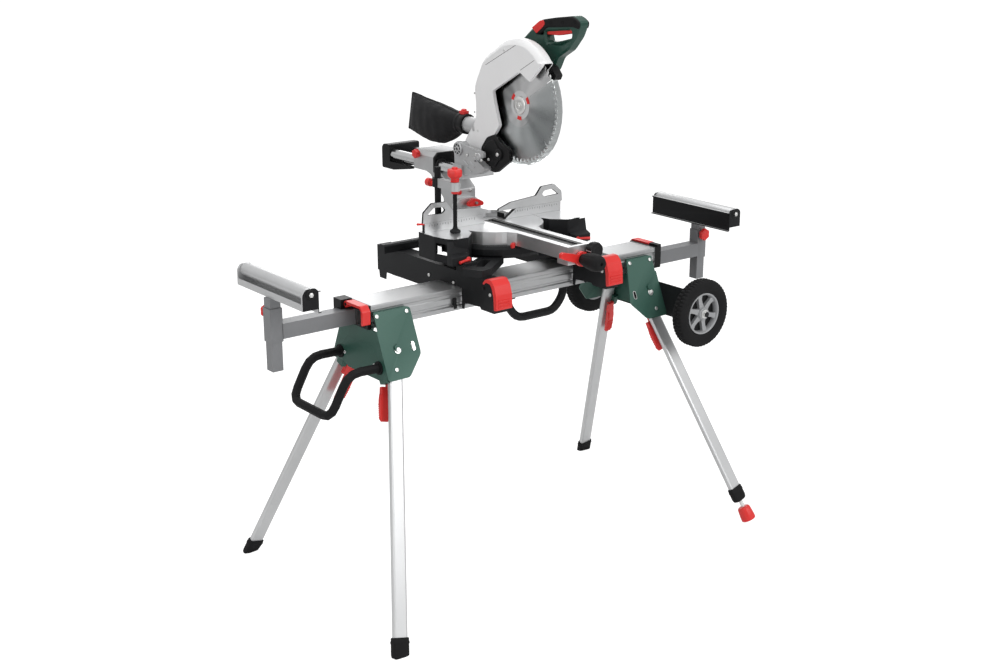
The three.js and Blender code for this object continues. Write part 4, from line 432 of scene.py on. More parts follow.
def makeBlade():
    y, z = arbor["y"], arbor["z"]
    mesh = bmesh.new()
    step = 2 * math.pi / blade["teeth"]
    outer = []
    for k in range(blade["teeth"]):
        start = k * step
        wide = k % (blade["teeth"] // blade["slots"]) == 0
        deep = blade["deepGullet"] if wide else blade["gullet"]
        for share, depth in ((0.0, 1.6), (0.30, 2.4), (0.36, 4.5), (0.52, blade["gullet"]), (0.62, deep),
                             (0.68, deep), (0.80, blade["gullet"]), (0.93, blade["gullet"] * 0.55)):
            r = blade["radius"] - depth
            outer.append((y + r * math.cos(start + share * step), z + r * math.sin(start + share * step)))
    addSlab(mesh, outer, "x", -blade["thick"] / 2, blade["thick"] / 2)
    for k in range(blade["teeth"]):
        start = k * step - 0.05 * step
        r0, r1 = blade["radius"] - 7.5, blade["radius"] - 0.2
        tip = [(r0, start), (r1, start - 0.02), (r1 - 1.0, start + 0.2 * step), (r0, start + 0.2 * step)]
        points = [(y + r * math.cos(a), z + r * math.sin(a)) for r, a in tip]
        addSlab(mesh, points, "x", -blade["tip"] / 2, blade["tip"] / 2, tint=1)
    newPiece("saw_blade", mesh, ["bladeSteel", "carbide"], "blade", sawAt, sharp=25)
    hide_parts("blade")
    mesh = bmesh.new()
    hub = (-1.0, y, z)
    addTurned(mesh, hub, (-1, 0, 0), [(blade["hubDisc"], -0.1), (blade["hubDisc"], 0.35), (10, 0.4)], 64)
    for k in range(3):
        a0 = math.radians(20 + 120 * k)
        arc = [(30, a0), (30, a0 + 0.25), (30, a0 + 0.5), (40, a0 + 0.5), (40, a0 + 0.25), (40, a0)]
        points = [(y + r * math.cos(a), z + r * math.sin(a)) for r, a in arc]
        addSlab(mesh, points, "x", -1.7, -1.0, tint=1)
    newPiece("blade_disc", mesh, ["labelFoil", "redPlastic"], "blade", sawAt)
    mesh = bmesh.new()
    addTurned(mesh, hub, (-1, 0, 0), [(blade["flange"], 0.4), (blade["flange"], 3.5),
                                      (blade["flange"] - 2, 4.6), (14, 5.2), (13, 4.2), (6, 4.2)], 48)
    addTurned(mesh, hub, (-1, 0, 0), [(8.5, 4.0), (8.5, 9.2), (7.4, 10.4), (3.9, 10.4), (3.7, 6)], 6)
    addTurned(mesh, (1, y, z), (1, 0, 0), [(blade["flange"] - 2, 0), (blade["flange"] - 2, 2.6), (8, 2.6),
                                           (8, 36)], 32)
    newPiece("blade_flange", mesh, "zincSteel", "blade", sawAt, edge=0.3)


# wheels
wheel = dict(x=515, z=643, track=470, radius=102, half=20, rim=61, blocks=54, spokes=6, hub=19)


def makeWheel(side):
    name = "front" if side < 0 else "rear"
    centre = Vector((wheel["x"], side * wheel["track"] / 2, wheel["z"]))
    mesh = bmesh.new()
    steps = wheel["blocks"] * 4
    profile = [(wheel["rim"] + 0.4, -14), (wheel["rim"] + 5, -17.5), (wheel["rim"] + 16, -20), (84, -19.6),
               (91, -18.6), (96.5, -16.4), (99.6, -13), (100.8, -8), (101.2, -1.2), (101.2, 1.2),
               (100.8, 8), (99.6, 13), (96.5, 16.4), (91, 18.6), (84, 19.6), (wheel["rim"] + 16, 20),
               (wheel["rim"] + 5, 17.5), (wheel["rim"] + 0.4, 14)]

    def tread(angle, radius, along):
        if radius < 95:
            return 0
        phase = (angle * wheel["blocks"] / (2 * math.pi) + (0.5 if along > 0 else 0)) % 1
        groove = -2.6 if phase < 0.3 else 0
        return groove * min(1, (radius - 95) / 4) - (2.2 if abs(along) < 1.5 else 0)

    addTurned(mesh, centre, (0, 1, 0), profile, steps, wave=tread, hollow=True)
    tyre = newPiece("tyre_" + name + "_tread", mesh, "tyreRubber", "wheel_" + name, sharp=30)
    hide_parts("tyre_" + name)

    mesh = bmesh.new()
    rim = wheel["rim"]
    addTurned(mesh, centre, (0, 1, 0), [(rim - 6, -13), (rim - 3.5, -16.4), (rim, -16.4), (rim, 16.4),
                                        (rim - 3.5, 16.4), (rim - 6, 13), (rim - 7.5, 0)], 72, hollow=True)
    addTurned(mesh, centre, (0, 1, 0), [(9, -17), (wheel["hub"] - 2, -18), (wheel["hub"], -15),
                                        (wheel["hub"] + 1.5, 0), (wheel["hub"], 15), (wheel["hub"] - 2, 18),
                                        (9, 17)], 40)
    for k in range(wheel["spokes"]):
        turn = Matrix.Rotation(2 * math.pi * k / wheel["spokes"] + 0.3, 4, "Y")
        rings = []
        for r, half, deep in ((wheel["hub"] - 3, 9.5, 11), (30, 7, 8.5), (42, 6.4, 8), (rim - 5, 9.5, 10.5)):
            ring = [Vector((r, d, s)) for d, s in ((-deep, -half), (-deep - 1.5, 0), (-deep, half),
                                                   (deep, half), (deep + 1.5, 0), (deep, -half))]
            rings.append([centre + turn @ p for p in ring])
        addRings(mesh, rings)
    rimPiece = newPiece("rim_" + name + "_cast", mesh, "rimPlastic", "wheel_" + name, edge=0.8, sharp=40)
    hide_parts("rim_" + name)
    mesh = bmesh.new()
    out = (0, side, 0)
    face = centre + Vector((0, side * 18, 0))
    addTurned(mesh, face, out, [(13, 0), (13, 1.8), (8.2, 1.9)], 36)
    addTurned(mesh, face, out, [(9.4, 1.8), (9.4, 7.2), (8.2, 8.2), (5.2, 8.2)], 6)
    addTurned(mesh, face, out, [(5, 7), (5, 9.2), (4, 9.9)], 20)
    newPiece("wheel_nut_" + name, mesh, "zincSteel", "wheel_" + name, edge=0.3)
    mesh = bmesh.new()
    web = [(wheel["hub"], -2.5), (36, -3.5), (rim - 7, -2), (rim - 7, 2), (36, 0.5), (wheel["hub"], 2.5)]
    addTurned(mesh, centre - Vector((0, side * 3, 0)), out, web, 56, hollow=True)
    newPiece("wheel_web_" + name, mesh, "blackPlastic", "wheel_" + name)


# roller units
roller = dict(radius=17, length=311, endPlate=6, inset=15, knobZ=812, knobOut=17.8,
              left=dict(post=-742, y=22, z=891), right=dict(post=714, y=-22, z=901))


def makeRollerUnit(name):
    unit = roller[name]
    saws = 1 if name == "left" else -1
    x = unit["post"] + saws * roller["inset"]
    y, z = unit["y"], unit["z"]
    half, r = roller["length"] / 2 - 0.6, roller["radius"]
    mesh = bmesh.new()
    addTurned(mesh, (x, y, z), (0, 1, 0), [(8, -half), (r - 2, -half), (r - 0.4, -half + 0.6),
                                           (r, -half + 2), (r, half - 2), (r - 0.4, half - 0.6),
                                           (r - 2, half), (8, half)], 64)
    addTurned(mesh, (x, y, z), (0, 1, 0), [(5, -half - 6), (5, half + 6)], 20)
    sleeve = newPiece("roller_" + name + "_sleeve", mesh, "rollerAluminium", "roller_" + name, edge=0)
    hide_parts("roller_" + name)
    mesh = bmesh.new()
    for end in (-1, 1):
        face = y + end * (roller["length"] / 2 + roller["endPlate"])
        addTurned(mesh, (x, face - end * 0.4, z), (0, end, 0),
                  [(13.5, 0), (13.5, 1.4), (12.2, 2.2), (7.6, 2.4)], 40)
        addTurned(mesh, (x, face, z), (0, end, 0), [(6.6, 1.5), (6.6, 5.6), (5.6, 6.4), (3.2, 6.4)], 6,
                  tint=1)
        addTurned(mesh, (x, face, z), (0, end, 0), [(3, 5), (3, 7.6), (2.4, 8.1)], 16, tint=1)
    newPiece("roller_caps_" + name, mesh, ["blackPlastic", "zincSteel"], "roller_head_" + name, edge=0.3)


def lobes(count, depth):
    return lambda angle, radius, along: -depth * (0.5 + 0.5 * math.cos(count * angle)) if radius > 9 else 0


def makeHeightKnob(name):
    unit = roller[name]
    side = 1 if unit["y"] > 0 else -1
    mesh = bmesh.new()
    centre = (unit["post"], unit["y"] + side * roller["knobOut"], roller["knobZ"])
    addTurned(mesh, centre, (0, side, 0), [(9.5, 0), (11, 3), (17.8, 4), (19, 6), (19, 12), (17.4, 14.4),
                                           (12, 15), (8, 14.2)], 72, wave=lobes(6, 2.2))
    addTurned(mesh, centre, (0, side, 0), [(5, -17), (5, 1)], 20, tint=1)
    knob = newPiece("height_knob_" + name + "_lobed", mesh, ["redPlastic", "zincSteel"],
                    "height_knob_" + name, edge=0)
    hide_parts("height_knob_" + name)


# mitre handle
def makeMitreGrip():
    mesh = bmesh.new()
    low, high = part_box("mitre_grip")
    zero = standAt(0, 0, 0)
    x = (low.x + high.x) / 2 * 1000 - zero.x * 1000
    z = (low.z + high.z) / 2 * 1000
    y0, y1 = high.y * 1000 - zero.y * 1000, low.y * 1000 - zero.y * 1000
    radius = (high.z - low.z) * 500
    length = y0 - y1
    shape = [(0.22, 0.0), (0.24, 0.18), (0.62, 0.20), (0.66, 0.26), (0.60, 0.34), (0.78, 0.44),
             (0.92, 0.58), (0.985, 0.72), (0.96, 0.84), (0.86, 0.93), (0.66, 0.985), (0.36, 1.0),
             (0.20, 0.985), (0.18, 0.95)]

    def flutes(angle, r, along):
        share = along / length
        if share < 0.42 or share > 0.9:
            return 0
        return -0.9 * max(0.0, math.cos(8 * angle)) ** 3

    addTurned(mesh, (x, y0, z), (0, -1, 0), [(a * radius, b * length) for a, b in shape], 64, wave=flutes)
    grip = newPiece("mitre_grip_moulded", mesh, "softGrip", "mitre_grip", edge=0)
    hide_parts("mitre_grip")


# dust bag
bag = dict(neckY=144, neckZ=256, rings=44, around=56)


def makeDustBag():
    mesh = bmesh.new()
    # y from the outlet, lower edge, upper edge, half width
    shape = [(2, -24, 24, 24), (14, -27, 25, 27), (26, -34, 27, 31), (48, -50, 30, 37), (80, -66, 36, 41),
             (120, -70, 43, 41), (165, -64, 50, 36), (205, -56, 56, 27), (228, -51, 58.5, 15),
             (238, -48, 60, 6), (244, -47, 60, 2.2), (247, -47, 60, 1.6)]

    def sample(t):
        place = t * (len(shape) - 1)
        i = min(int(place), len(shape) - 2)
        share = place - i
        return [a + (b - a) * share for a, b in zip(shape[i], shape[i + 1])]

    rings = []
    for i in range(bag["rings"]):
        y, low, high, half = sample(i / (bag["rings"] - 1))
        ring = []
        flat = min(1, max(0, (y - 120) / 120))
        power = 0.72 + 0.28 * flat
        for k in range(bag["around"]):
            angle = 2 * math.pi * k / bag["around"]
            c, s = math.cos(angle), math.sin(angle)
            x = half * math.copysign(abs(c) ** power, c)
            z = (low + high) / 2 + (high - low) / 2 * math.copysign(abs(s) ** power, s)
            spot = Vector((x / 30, y / 34, z / 30))
            sag = noise.noise(spot) * 3.4 + noise.noise(spot * 2.3 + Vector((7, 1, 3))) * 1.4
            fold = math.sin(y * 0.16 + 2.2 * math.sin(angle * 2 + 0.6)) * math.sin(math.pi * min(1, y / 240))
            loose = 0.25 + 0.75 * math.sin(math.pi * min(1, max(0, y / 250)))
            reach = (sag + fold) * loose * (1 - flat * 0.6)
            lean = (y / 247) ** 2 * 22 * max(0, (58 - z) / 106)
            ring.append(Vector((x + c * reach, bag["neckY"] + y + lean, bag["neckZ"] + z + s * reach * 0.7)))
        rings.append(ring)
    addRings(mesh, rings)
    cloth = newPiece("dust_bag_cloth", mesh, "bagCloth", "head", sawAt, sharp=70)
    surface = cloth.modifiers.new("soft", "SUBSURF")
    surface.levels = 1
    surface.render_levels = 1
    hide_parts("dust_bag")

    # piping round the seam and the end hem
    mesh = bmesh.new()
    for angle in (math.pi / 2, -math.pi / 2):
        k = int(angle / (2 * math.pi) * bag["around"]) % bag["around"]
        addTube(mesh, [ring[k] + Vector((0, 0, math.sin(angle) * 0.6)) for ring in rings[6:]], 1.5, 10)
    end = rings[-1]
    top = [p for p in end if p.x <= 0]
    addTube(mesh, [Vector((0, p.y + 0.8, p.z)) for p in sorted(top, key=lambda p: p.z)], 1.7, 10)
    newPiece("dust_bag_piping", mesh, "bagTrim", "head", sawAt)

    mesh = bmesh.new()
    collar = [(22.6, -22), (28, -22), (28.6, -20), (28.6, -8), (27.6, -6), (27.6, 2), (29.4, 4),
              (29.4, 12), (27.6, 14), (24, 15)]
    addTurned(mesh, (0, bag["neckY"], bag["neckZ"]), (0, 1, 0), collar, 56)
    newPiece("dust_bag_collar", mesh, "blackPlastic", "head", sawAt, edge=0.4)
    mesh = bmesh.new()
    addBox(mesh, (-9, 9), (bag["neckY"] - 15, bag["neckY"] + 8), (bag["neckZ"] + 26, bag["neckZ"] + 36))
    addTurned(mesh, (0, bag["neckY"] - 3, bag["neckZ"] + 35), (0, 0, 1), [(8, 0), (8, 4), (6, 6), (2, 6.4)],
              24)
    newPiece("dust_bag_clip", mesh, "redPlastic", "head", sawAt, edge=1.2)


# saw head: upper guard with its seams, and what it carries
guard = dict(left=-24, right=14, inset=15, cavity=165, leftWall=10, rightWall=3)
guardBack = [(118, 186), (123, 208), (88, 258), (67, 285), (68, 330), (74, 372), (33, 450), (-62, 504.5),
             (-120, 513.5), (-160, 507.5), (-191, 492.5), (-215, 473.5), (-227, 457.5)]
guardEdge = [(-222, 449), (-177, 406), (-134, 428), (-20, 366), (-27, 337), (-39, 304), (-49, 275),
             (-21, 241), (25, 197), (95, 178)]


def rounded(points, reach, steps=5):
    done = []
    count = len(points)
    for i, point in enumerate(points):
        here = Vector(point)
        before, after = Vector(points[i - 1]), Vector(points[(i + 1) % count])
        size = reach[i] if isinstance(reach, (list, tuple)) else reach
        size = min(size, (here - before).length * 0.48, (after - here).length * 0.48)
        if size < 0.3:
            done.append(here)
            continue
        start = here + (before - here).normalized() * size
        end = here + (after - here).normalized() * size
        for k in range(steps + 1):
            t = k / steps
            done.append(start * (1 - t) ** 2 + here * 2 * t * (1 - t) + end * t * t)
    return done


def solidify(piece):
    bpy.context.view_layer.update()
    graph = bpy.context.evaluated_depsgraph_get()
    data = bpy.data.meshes.new_from_object(piece.evaluated_get(graph))
    piece.modifiers.clear()
    piece.data = data


def carve(piece, build):
    mesh = bmesh.new()
    build(mesh)
    for vertex in mesh.verts:
        vertex.co = sawAt(*vertex.co)
    bmesh.ops.recalc_face_normals(mesh, faces=mesh.faces)
    data = bpy.data.meshes.new("cutter")
    mesh.to_mesh(data)
    mesh.free()
    cutter = bpy.data.objects.new("cutter", data)
    scene.collection.objects.link(cutter)
    cut = piece.modifiers.new("cut", "BOOLEAN")
    cut.operation = "DIFFERENCE"
    cut.solver = "EXACT"
    cut.object = cutter
    solidify(piece)
    bpy.data.objects.remove(cutter)


def makeUpperGuard():
    backRound = [8, 16, 24, 14, 40, 22, 26, 26, 20, 20, 18, 12, 3]
    outline = rounded(guardBack + guardEdge, backRound + [3, 3, 3, 4, 6, 6, 5, 8, 10, 8])
    backCount = 6 * len(guardBack)

    def ring(x, inset):
        points = []
        for i, p in enumerate(outline):
            before, after = outline[i - 1], outline[(i + 1) % len(outline)]
            along = (after - before).normalized()
            fade = 1.0 if 3 < i < backCount - 6 else (0.4 if 0 < i < backCount - 3 else 0.0)
            points.append((x, p.x - along.y * inset * fade, p.y + along.x * inset * fade))
        return points

    mesh = bmesh.new()
    left, right = guard["left"], guard["right"]
    addRings(mesh, [ring(left, guard["inset"]), ring(left + 1.5, guard["inset"] - 2.6),
                    ring(left + 11.5, 1.2), ring(left + 14, 0), ring(right - 7, 0), ring(right - 2, 1.8),
                    ring(right, 5)])
    shell = newPiece("upper_guard", mesh, ["paleCasing", "blackPlastic"], "head", sawAt, sharp=24)
    hub = (arbor["y"], arbor["z"])
    low, high = left + guard["leftWall"], right - guard["rightWall"]
    carve(shell, lambda cutter: addTurned(cutter, (low, *hub), (1, 0, 0),
                                          [(guard["cavity"], 0), (guard["cavity"], high - low)], 120))
    # the cavity's inside faces are painted black: partly the guard's black inner edge, partly painted shade
    # in the hollow
    zero = sawAt(0, 0, 0)
    for face in shell.data.polygons:
        spot = (face.center - zero) * 1000
        inside = (spot.y - hub[0]) ** 2 + (spot.z - hub[1]) ** 2 < (guard["cavity"] + 1) ** 2
        deep = low - 0.2 < spot.x < high + 0.2
        if inside and deep:
            face.material_index = 1
    rim = shell.modifiers.new("edges", "BEVEL")
    rim.width, rim.segments, rim.limit_method, rim.angle_limit = 0.0008, 2, "ANGLE", math.radians(30)
    shell.data.shade_smooth()
    shell.data.set_sharp_from_angle(angle=math.radians(24))
    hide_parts("head_housing")

    # the closed right side of the guard, with the gear case on it
    mesh = bmesh.new()
    addTurned(mesh, (11, *hub), (1, 0, 0), [(100, 0), (100, 2.6), (98, 3)], 72)
    newPiece("guard_wall", mesh, "castAluminium", "head", sawAt)
    mesh = bmesh.new()
    motor = (motorAxis["y"], motorAxis["z"])
    along = math.atan2(motor[1] - hub[1], motor[0] - hub[0])
    for start, end, grow in ((14, 22, 3), (22, 52, 0), (52, 58, -4)):
        points = []
        for centre, radius, base in ((motor, 46 + grow, -math.pi / 2), (hub, 45 + grow, math.pi / 2)):
            for k in range(25):
                a = along + base + math.pi * k / 24
                points.append((centre[0] + radius * math.cos(a), centre[1] + radius * math.sin(a)))
        addSlab(mesh, points, "x", start, end)
    newPiece("gear_case", mesh, "castAluminium", "head", sawAt, edge=1.6)
    mesh = bmesh.new()
    addTurned(mesh, (3.4, *hub), (1, 0, 0), [(26, 0.0), (26, 8)], 48)
    addTurned(mesh, (58, *hub), (1, 0, 0), [(30, 0), (30, 2), (27, 4), (12, 4)], 48)
    for k in range(4):
        a = math.pi / 4 + k * math.pi / 2
        addBolt(mesh, (57.5, hub[0] + 37 * math.cos(a), hub[1] + 37 * math.sin(a)), (1, 0, 0), 3.4, 3)
    newPiece("arbor_boss", mesh, "castAluminium", "head", sawAt, edge=0.4)

    # the neck down to the chop pivot
    mesh = bmesh.new()
    addSlab(mesh, rounded([(118, 186), (123, 208), (92, 256), (44, 266), (25, 197), (95, 178)], 7), "x", 10,
            34)
    addTurned(mesh, (-39, chopPivot["y"], chopPivot["z"]), (1, 0, 0), [(19, 0), (19, 78)], 48)
    newPiece("head_neck", mesh, "castAluminium", "head", sawAt, edge=1.4)
    mesh = bmesh.new()
    addTurned(mesh, (0, 44, bag["neckZ"]), (0, 1, 0), [(19, 0), (22, 0.1), (22, 78)], 48)
    addTurned(mesh, (0, 60, bag["neckZ"]), (0, 1, 0), [(24.5, 0), (26, 2), (26, 9), (24.5, 11)], 48)
    newPiece("dust_outlet", mesh, "castAluminium", "head", sawAt, edge=0.5)

    # the black deflector beside the blade, and its bolts
    mesh = bmesh.new()
    addSlab(mesh, rounded([(30, 206), (4, 238), (-30, 250), (-60, 226), (-92, 216), (-96, 186), (-34, 144),
                           (6, 150), (26, 176)], 8), "x", -25.6, -12)
    addSlab(mesh, rounded([(22, 200), (-2, 226), (-28, 236), (-50, 214), (-58, 190), (-34, 160), (2, 160)],
                          8), "x", -28.4, -25)
    addTurned(mesh, (-25, -52, 198), (-1, 0, 0), [(15, 0), (15, 5), (13, 7), (6, 7.4)], 40)
    newPiece("deflector_cover", mesh, "blackPlastic", "head", sawAt, edge=1.2)
    mesh = bmesh.new()
    addBolt(mesh, (-31.8, -52, 198), (-1, 0, 0), 5.5, 3.2)
    addBolt(mesh, (-28, -8, 178), (-1, 0, 0), 4.2, 2.6)
    newPiece("deflector_bolts", mesh, "zincSteel", "head", sawAt, edge=0.2)

    # seams, as narrow dark strips let into the skin: painted shade of the seam grooves
    mesh = bmesh.new()
    skin = left - 0.12
    for a, b in (((10, 433), (-119, 496)), ((-139, 433), (-196, 463.5))):
        a, b = Vector(a), Vector(b)
        side = Vector((b.y - a.y, a.x - b.x)).normalized() * 0.55
        addSlab(mesh, [a + side, b + side, b - side, a - side], "x", skin, left + 0.4)
    newPiece("guard_seam_shade", mesh, "seamShadow", "head", sawAt)
    mesh = bmesh.new()
    for y, z in ((60, 300), (60, 352), (-70, 478), (46, 250)):
        addTurned(mesh, (left - 0.3, y, z), (1, 0, 0), [(3.0, -0.2), (3.4, 0.3), (3.4, 0.6)], 24)
    newPiece("guard_screws", mesh, "zincSteel", "head", sawAt)


# handle on the motor housing
handle = dict(left=41.6, right=78.4, mid=60)


def makeHandle():
    mesh = bmesh.new()
    cover = rounded([(-112, 541), (-146, 560.4), (-212, 570.8), (-270, 576.8), (-296, 562), (-291, 545),
                     (-270, 549), (-168, 541), (-150, 528), (-128, 518)], [6, 10, 20, 14, 9, 6, 4, 8, 6, 5])
    addSlab(mesh, cover, "x", handle["left"] - 0.6, handle["right"] + 0.6)
    grip = newPiece("grip_overmould", mesh, "softGrip", "head", sawAt, edge=5, sharp=50)
    grip.modifiers["edges"].segments = 4
    # dark discs on the grip's sides: painted shade in the screw holes
    mesh = bmesh.new()
    for y, z in ((-183, 554), (-231, 559), (-279, 563)):
        for x, way in ((handle["left"] - 0.6, -1), (handle["right"] + 0.6, 1)):
            addTurned(mesh, (x - way * 0.4, y, z), (way, 0, 0),
                      [(4.6, 0), (4.6, 0.7), (3.4, 0.75), (3.2, 0.1)], 28)
    newPiece("grip_screw_hole_shade", mesh, "seamShadow", "head", sawAt)
    mesh = bmesh.new()
    addSlab(mesh, rounded([(-107, 537), (-126, 522.5), (-160, 548), (-156, 560), (-140, 557.5)],
                          [3, 4, 7, 7, 4]), "x", handle["left"] - 1.8, handle["left"] + 14)
    wedge = newPiece("lock_off_button", mesh, "redPlastic", "lock_button", sawAt, edge=1.6)
    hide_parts("lock_button")
    mesh = bmesh.new()
    addSlab(mesh, rounded([(-150, 534), (-264, 545), (-268, 539), (-258, 532), (-205, 523), (-152, 522)],
                          4), "x", 50, 70)
    finger = newPiece("finger_trigger", mesh, "redPlastic", "trigger", sawAt, edge=2.5, sharp=40)
    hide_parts("trigger")
    mesh = bmesh.new()
    rings = []
    for share, half in ((0.0, 14), (0.1, 17.6), (0.5, 19.5), (0.9, 17.6), (1.0, 14)):
        y = -160 - 104 * share
        low = 496 + 24 * share
        top = 507.5 + 14 * max(0, share - 0.55) / 0.45
        ring = []
        for k in range(28):
            c, s = math.cos(2 * math.pi * k / 28), math.sin(2 * math.pi * k / 28)
            z = low + (top - low) * s ** 0.6 if s > 0 else low + 9 * s
            ring.append((handle["mid"] + half * c, y, z))
        rings.append(ring)
    addRings(mesh, rings)
    newPiece("hand_guard_saddle", mesh, "greenPlastic", "head", sawAt, sharp=60)
    # the black cover below the handle's root
    mesh = bmesh.new()
    addSlab(mesh, rounded([(-186, 452), (-212, 446), (-232, 424), (-224, 410), (-196, 420), (-180, 436)],
                          4), "x", 20, 44)
    newPiece("handle_root_cover", mesh, "blackPlastic", "head", sawAt, edge=1.2)
    # dark discs on the motor housing: painted shade in the vent holes
    mesh = bmesh.new()
    for k in range(9):
        a = 2 * math.pi * k / 9
        addTurned(mesh, (189.2, motorAxis["y"] + 24 * math.cos(a), motorAxis["z"] + 24 * math.sin(a)),
                  (1, 0, 0), [(3.2, 0), (3.2, 0.6)], 12)
    newPiece("motor_vent_shade", mesh, "seamShadow", "head", sawAt)


# slide: the pivot ring, the carriage collar and the knobs
def makeSlideDetails():
    mesh = bmesh.new()
    centre = (-50, chopPivot["y"], chopPivot["z"])
    addTurned(mesh, centre, (-1, 0, 0), [(19, 0), (19, 4.5), (17.8, 5.6), (15, 5.6), (14.4, 2.4),
                                         (8.6, 2.4), (8.6, 5.4), (7.4, 6.4), (4.6, 6.4), (4.2, 3)], 56)
    # dark disc inside the ring: painted shade in its recess
    addTurned(mesh, centre, (-1, 0, 0), [(14.6, 2.2), (14.6, 2.7), (8.4, 2.7), (4, 3.2)], 48, tint=1)
    for k in range(8):
        a = 2 * math.pi * k / 8 + 0.2
        u, w = math.cos(a), math.sin(a)
        points = [(centre[1] + r * u - s * w, centre[2] + r * w + s * u) for r,
                  s in ((9, -1.6), (14, -1.6), (14, 1.6), (9, 1.6))]
        addSlab(mesh, points, "x", -55.2, -52)
    newPiece("pivot_ring", mesh, ["castAluminium", "seamShadow"], "slide", sawAt, edge=0.4)
    mesh = bmesh.new()
    for y, z in ((76, 168), (62, 152), (46, 168), (30, 184)):
        addSlab(mesh, [(y, z), (y - 22, z - 13), (y - 21, z - 15), (y + 1.5, z - 2)], "x", -52.4, -49.6)
    addTurned(mesh, (-52.6, 8, 186), (1, 0, 0), [(9, -1.4), (10, 0), (10, 3)], 32)
    newPiece("pivot_ribs", mesh, "castAluminium", "slide", sawAt, edge=0.5)
    mesh = bmesh.new()
    for y, z in ((59, 183), (18, 191), (8, 186), (-6, 178)):
        addBolt(mesh, (-51.5, y, z), (-1, 0, 0), 3.8, 2.6)
    newPiece("pivot_screws", mesh, "zincSteel", "slide", sawAt, edge=0.2)
    mesh = bmesh.new()
    addSlab(mesh, rounded([(-57.6, 111.5), (57.6, 111.5), (57.6, 155), (44, 168.6), (-44, 168.6),
                           (-57.6, 155)], 4), "y", 205, 213.4)
    for side in (-1, 1):
        addTurned(mesh, (side * 37, 205, 132), (0, -1, 0), [(20, 0), (20, 5), (18.5, 7), (15.4, 7)], 40)
    newPiece("carriage_collar", mesh, "blackPlastic", "column", sawAt, edge=1.0)
    mesh = bmesh.new()
    addTurned(mesh, (-56.6, 283, 158), (-1, 0, 0), [(5, -2), (5, 2), (11, 2.4), (13.4, 4.5), (13.4, 15),
                                                    (12, 17.4), (6, 18)], 60, wave=lobes(6, 1.9))
    newPiece("rail_lock_knob", mesh, "redPlastic", "column", sawAt)
    mesh = bmesh.new()
    addTurned(mesh, (-21, 142.6, 62), (0, -1, 0), [(7.5, 0), (7.5, 7), (6, 9), (3, 9.4)], 32)
    addTurned(mesh, (22, 142.6, 62), (0, -1, 0), [(5, 0), (5, 3), (4, 4), (2, 4)], 24, tint=1)
    newPiece("bevel_stop_button", mesh, ["redPlastic", "zincSteel"], "column", sawAt, edge=0.5)


# work clamp
clamp = dict(x=-175, y=-50, seat=2.3, turns=46, pitch=2.6)


def makeClamp():
    x, y, seat = clamp["x"], clamp["y"], clamp["seat"]
    mesh = bmesh.new()
    addTurned(mesh, (x, y, seat), (0, 0, 1), [(14, 0), (15, 2), (14, 6.5), (9, 9.5), (6.4, 12), (6.4, 16)],
              40)
    profile = [(5.7, 14)]
    for k in range(clamp["turns"]):
        z = 16 + k * clamp["pitch"]
        profile += [(6.0, z), (5.3, z + clamp["pitch"] / 2)]
    addTurned(mesh, (x, y, seat), (0, 0, 1), profile + [(6, 138)], 20)
    rod = newPiece("clamp_spindle", mesh, "blackCoat", "clamp_screw", sawAt, sharp=60)
    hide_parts("clamp_screw")
    mesh = bmesh.new()
    addTurned(mesh, (x, y, 146), (0, 0, 1), [(9, -1), (12, 0), (13, 5), (19.4, 10), (20.8, 13), (20.8, 25),
                                             (19, 28.4), (14, 29.6), (8, 29.8), (7.5, 34)], 72,
              wave=lobes(6, 1.8))
    newPiece("clamp_knob", mesh, "redPlastic", "clamp_screw", sawAt)
    mesh = bmesh.new()
    addTurned(mesh, (x, 58, 122), (0, 1, 0), [(5, -12), (5, -2), (8, -2), (9, 0), (11.4, 1), (11.6, 3),
                                              (11.6, 9.5), (10.4, 11.5), (5, 12)], 60, wave=lobes(5, 1.6))
    newPiece("clamp_side_knob", mesh, "redPlastic", "work_clamp", sawAt)
    mesh = bmesh.new()
    addTurned(mesh, (x, y, 140.2), (0, 0, 1),
              [(7, 0), (11.4, 0.4), (11.8, 2), (11.8, 3.4), (10.6, 4.6), (6.2, 5)], 36)
    addTurned(mesh, (x, y, 115.8), (0, 0, -1), [(6.4, 0), (10.2, 0.4), (10.2, 5.6), (9.2, 7), (6.2, 7)], 36)
    newPiece("clamp_collars", mesh, "redPlastic", "work_clamp", sawAt, edge=0.5)


# trestles: bolts, slots, the end panel and the beam's clips
splay = 0.4307
plateTilt = dict(half=65, top=786)
endPanel = dict(outer=-505.2, inner=-501.8)


def onPlate(x, z, end, out=0.0):
    y = plateTilt["half"] + splay * (plateTilt["top"] - z)
    run = math.hypot(1, splay)
    return Vector((x, end * (y + out / run), z + out * splay / run))


trestleBolts = {
    "left": dict(bolts=((-494, 777), (-402, 776), (-474, 645)), pivot=(-457, 690), slot=(-408, 692)),
    "right": dict(bolts=((386, 777), (466, 776), (444, 644)), pivot=(438, 690), slot=(376, 691)),
}


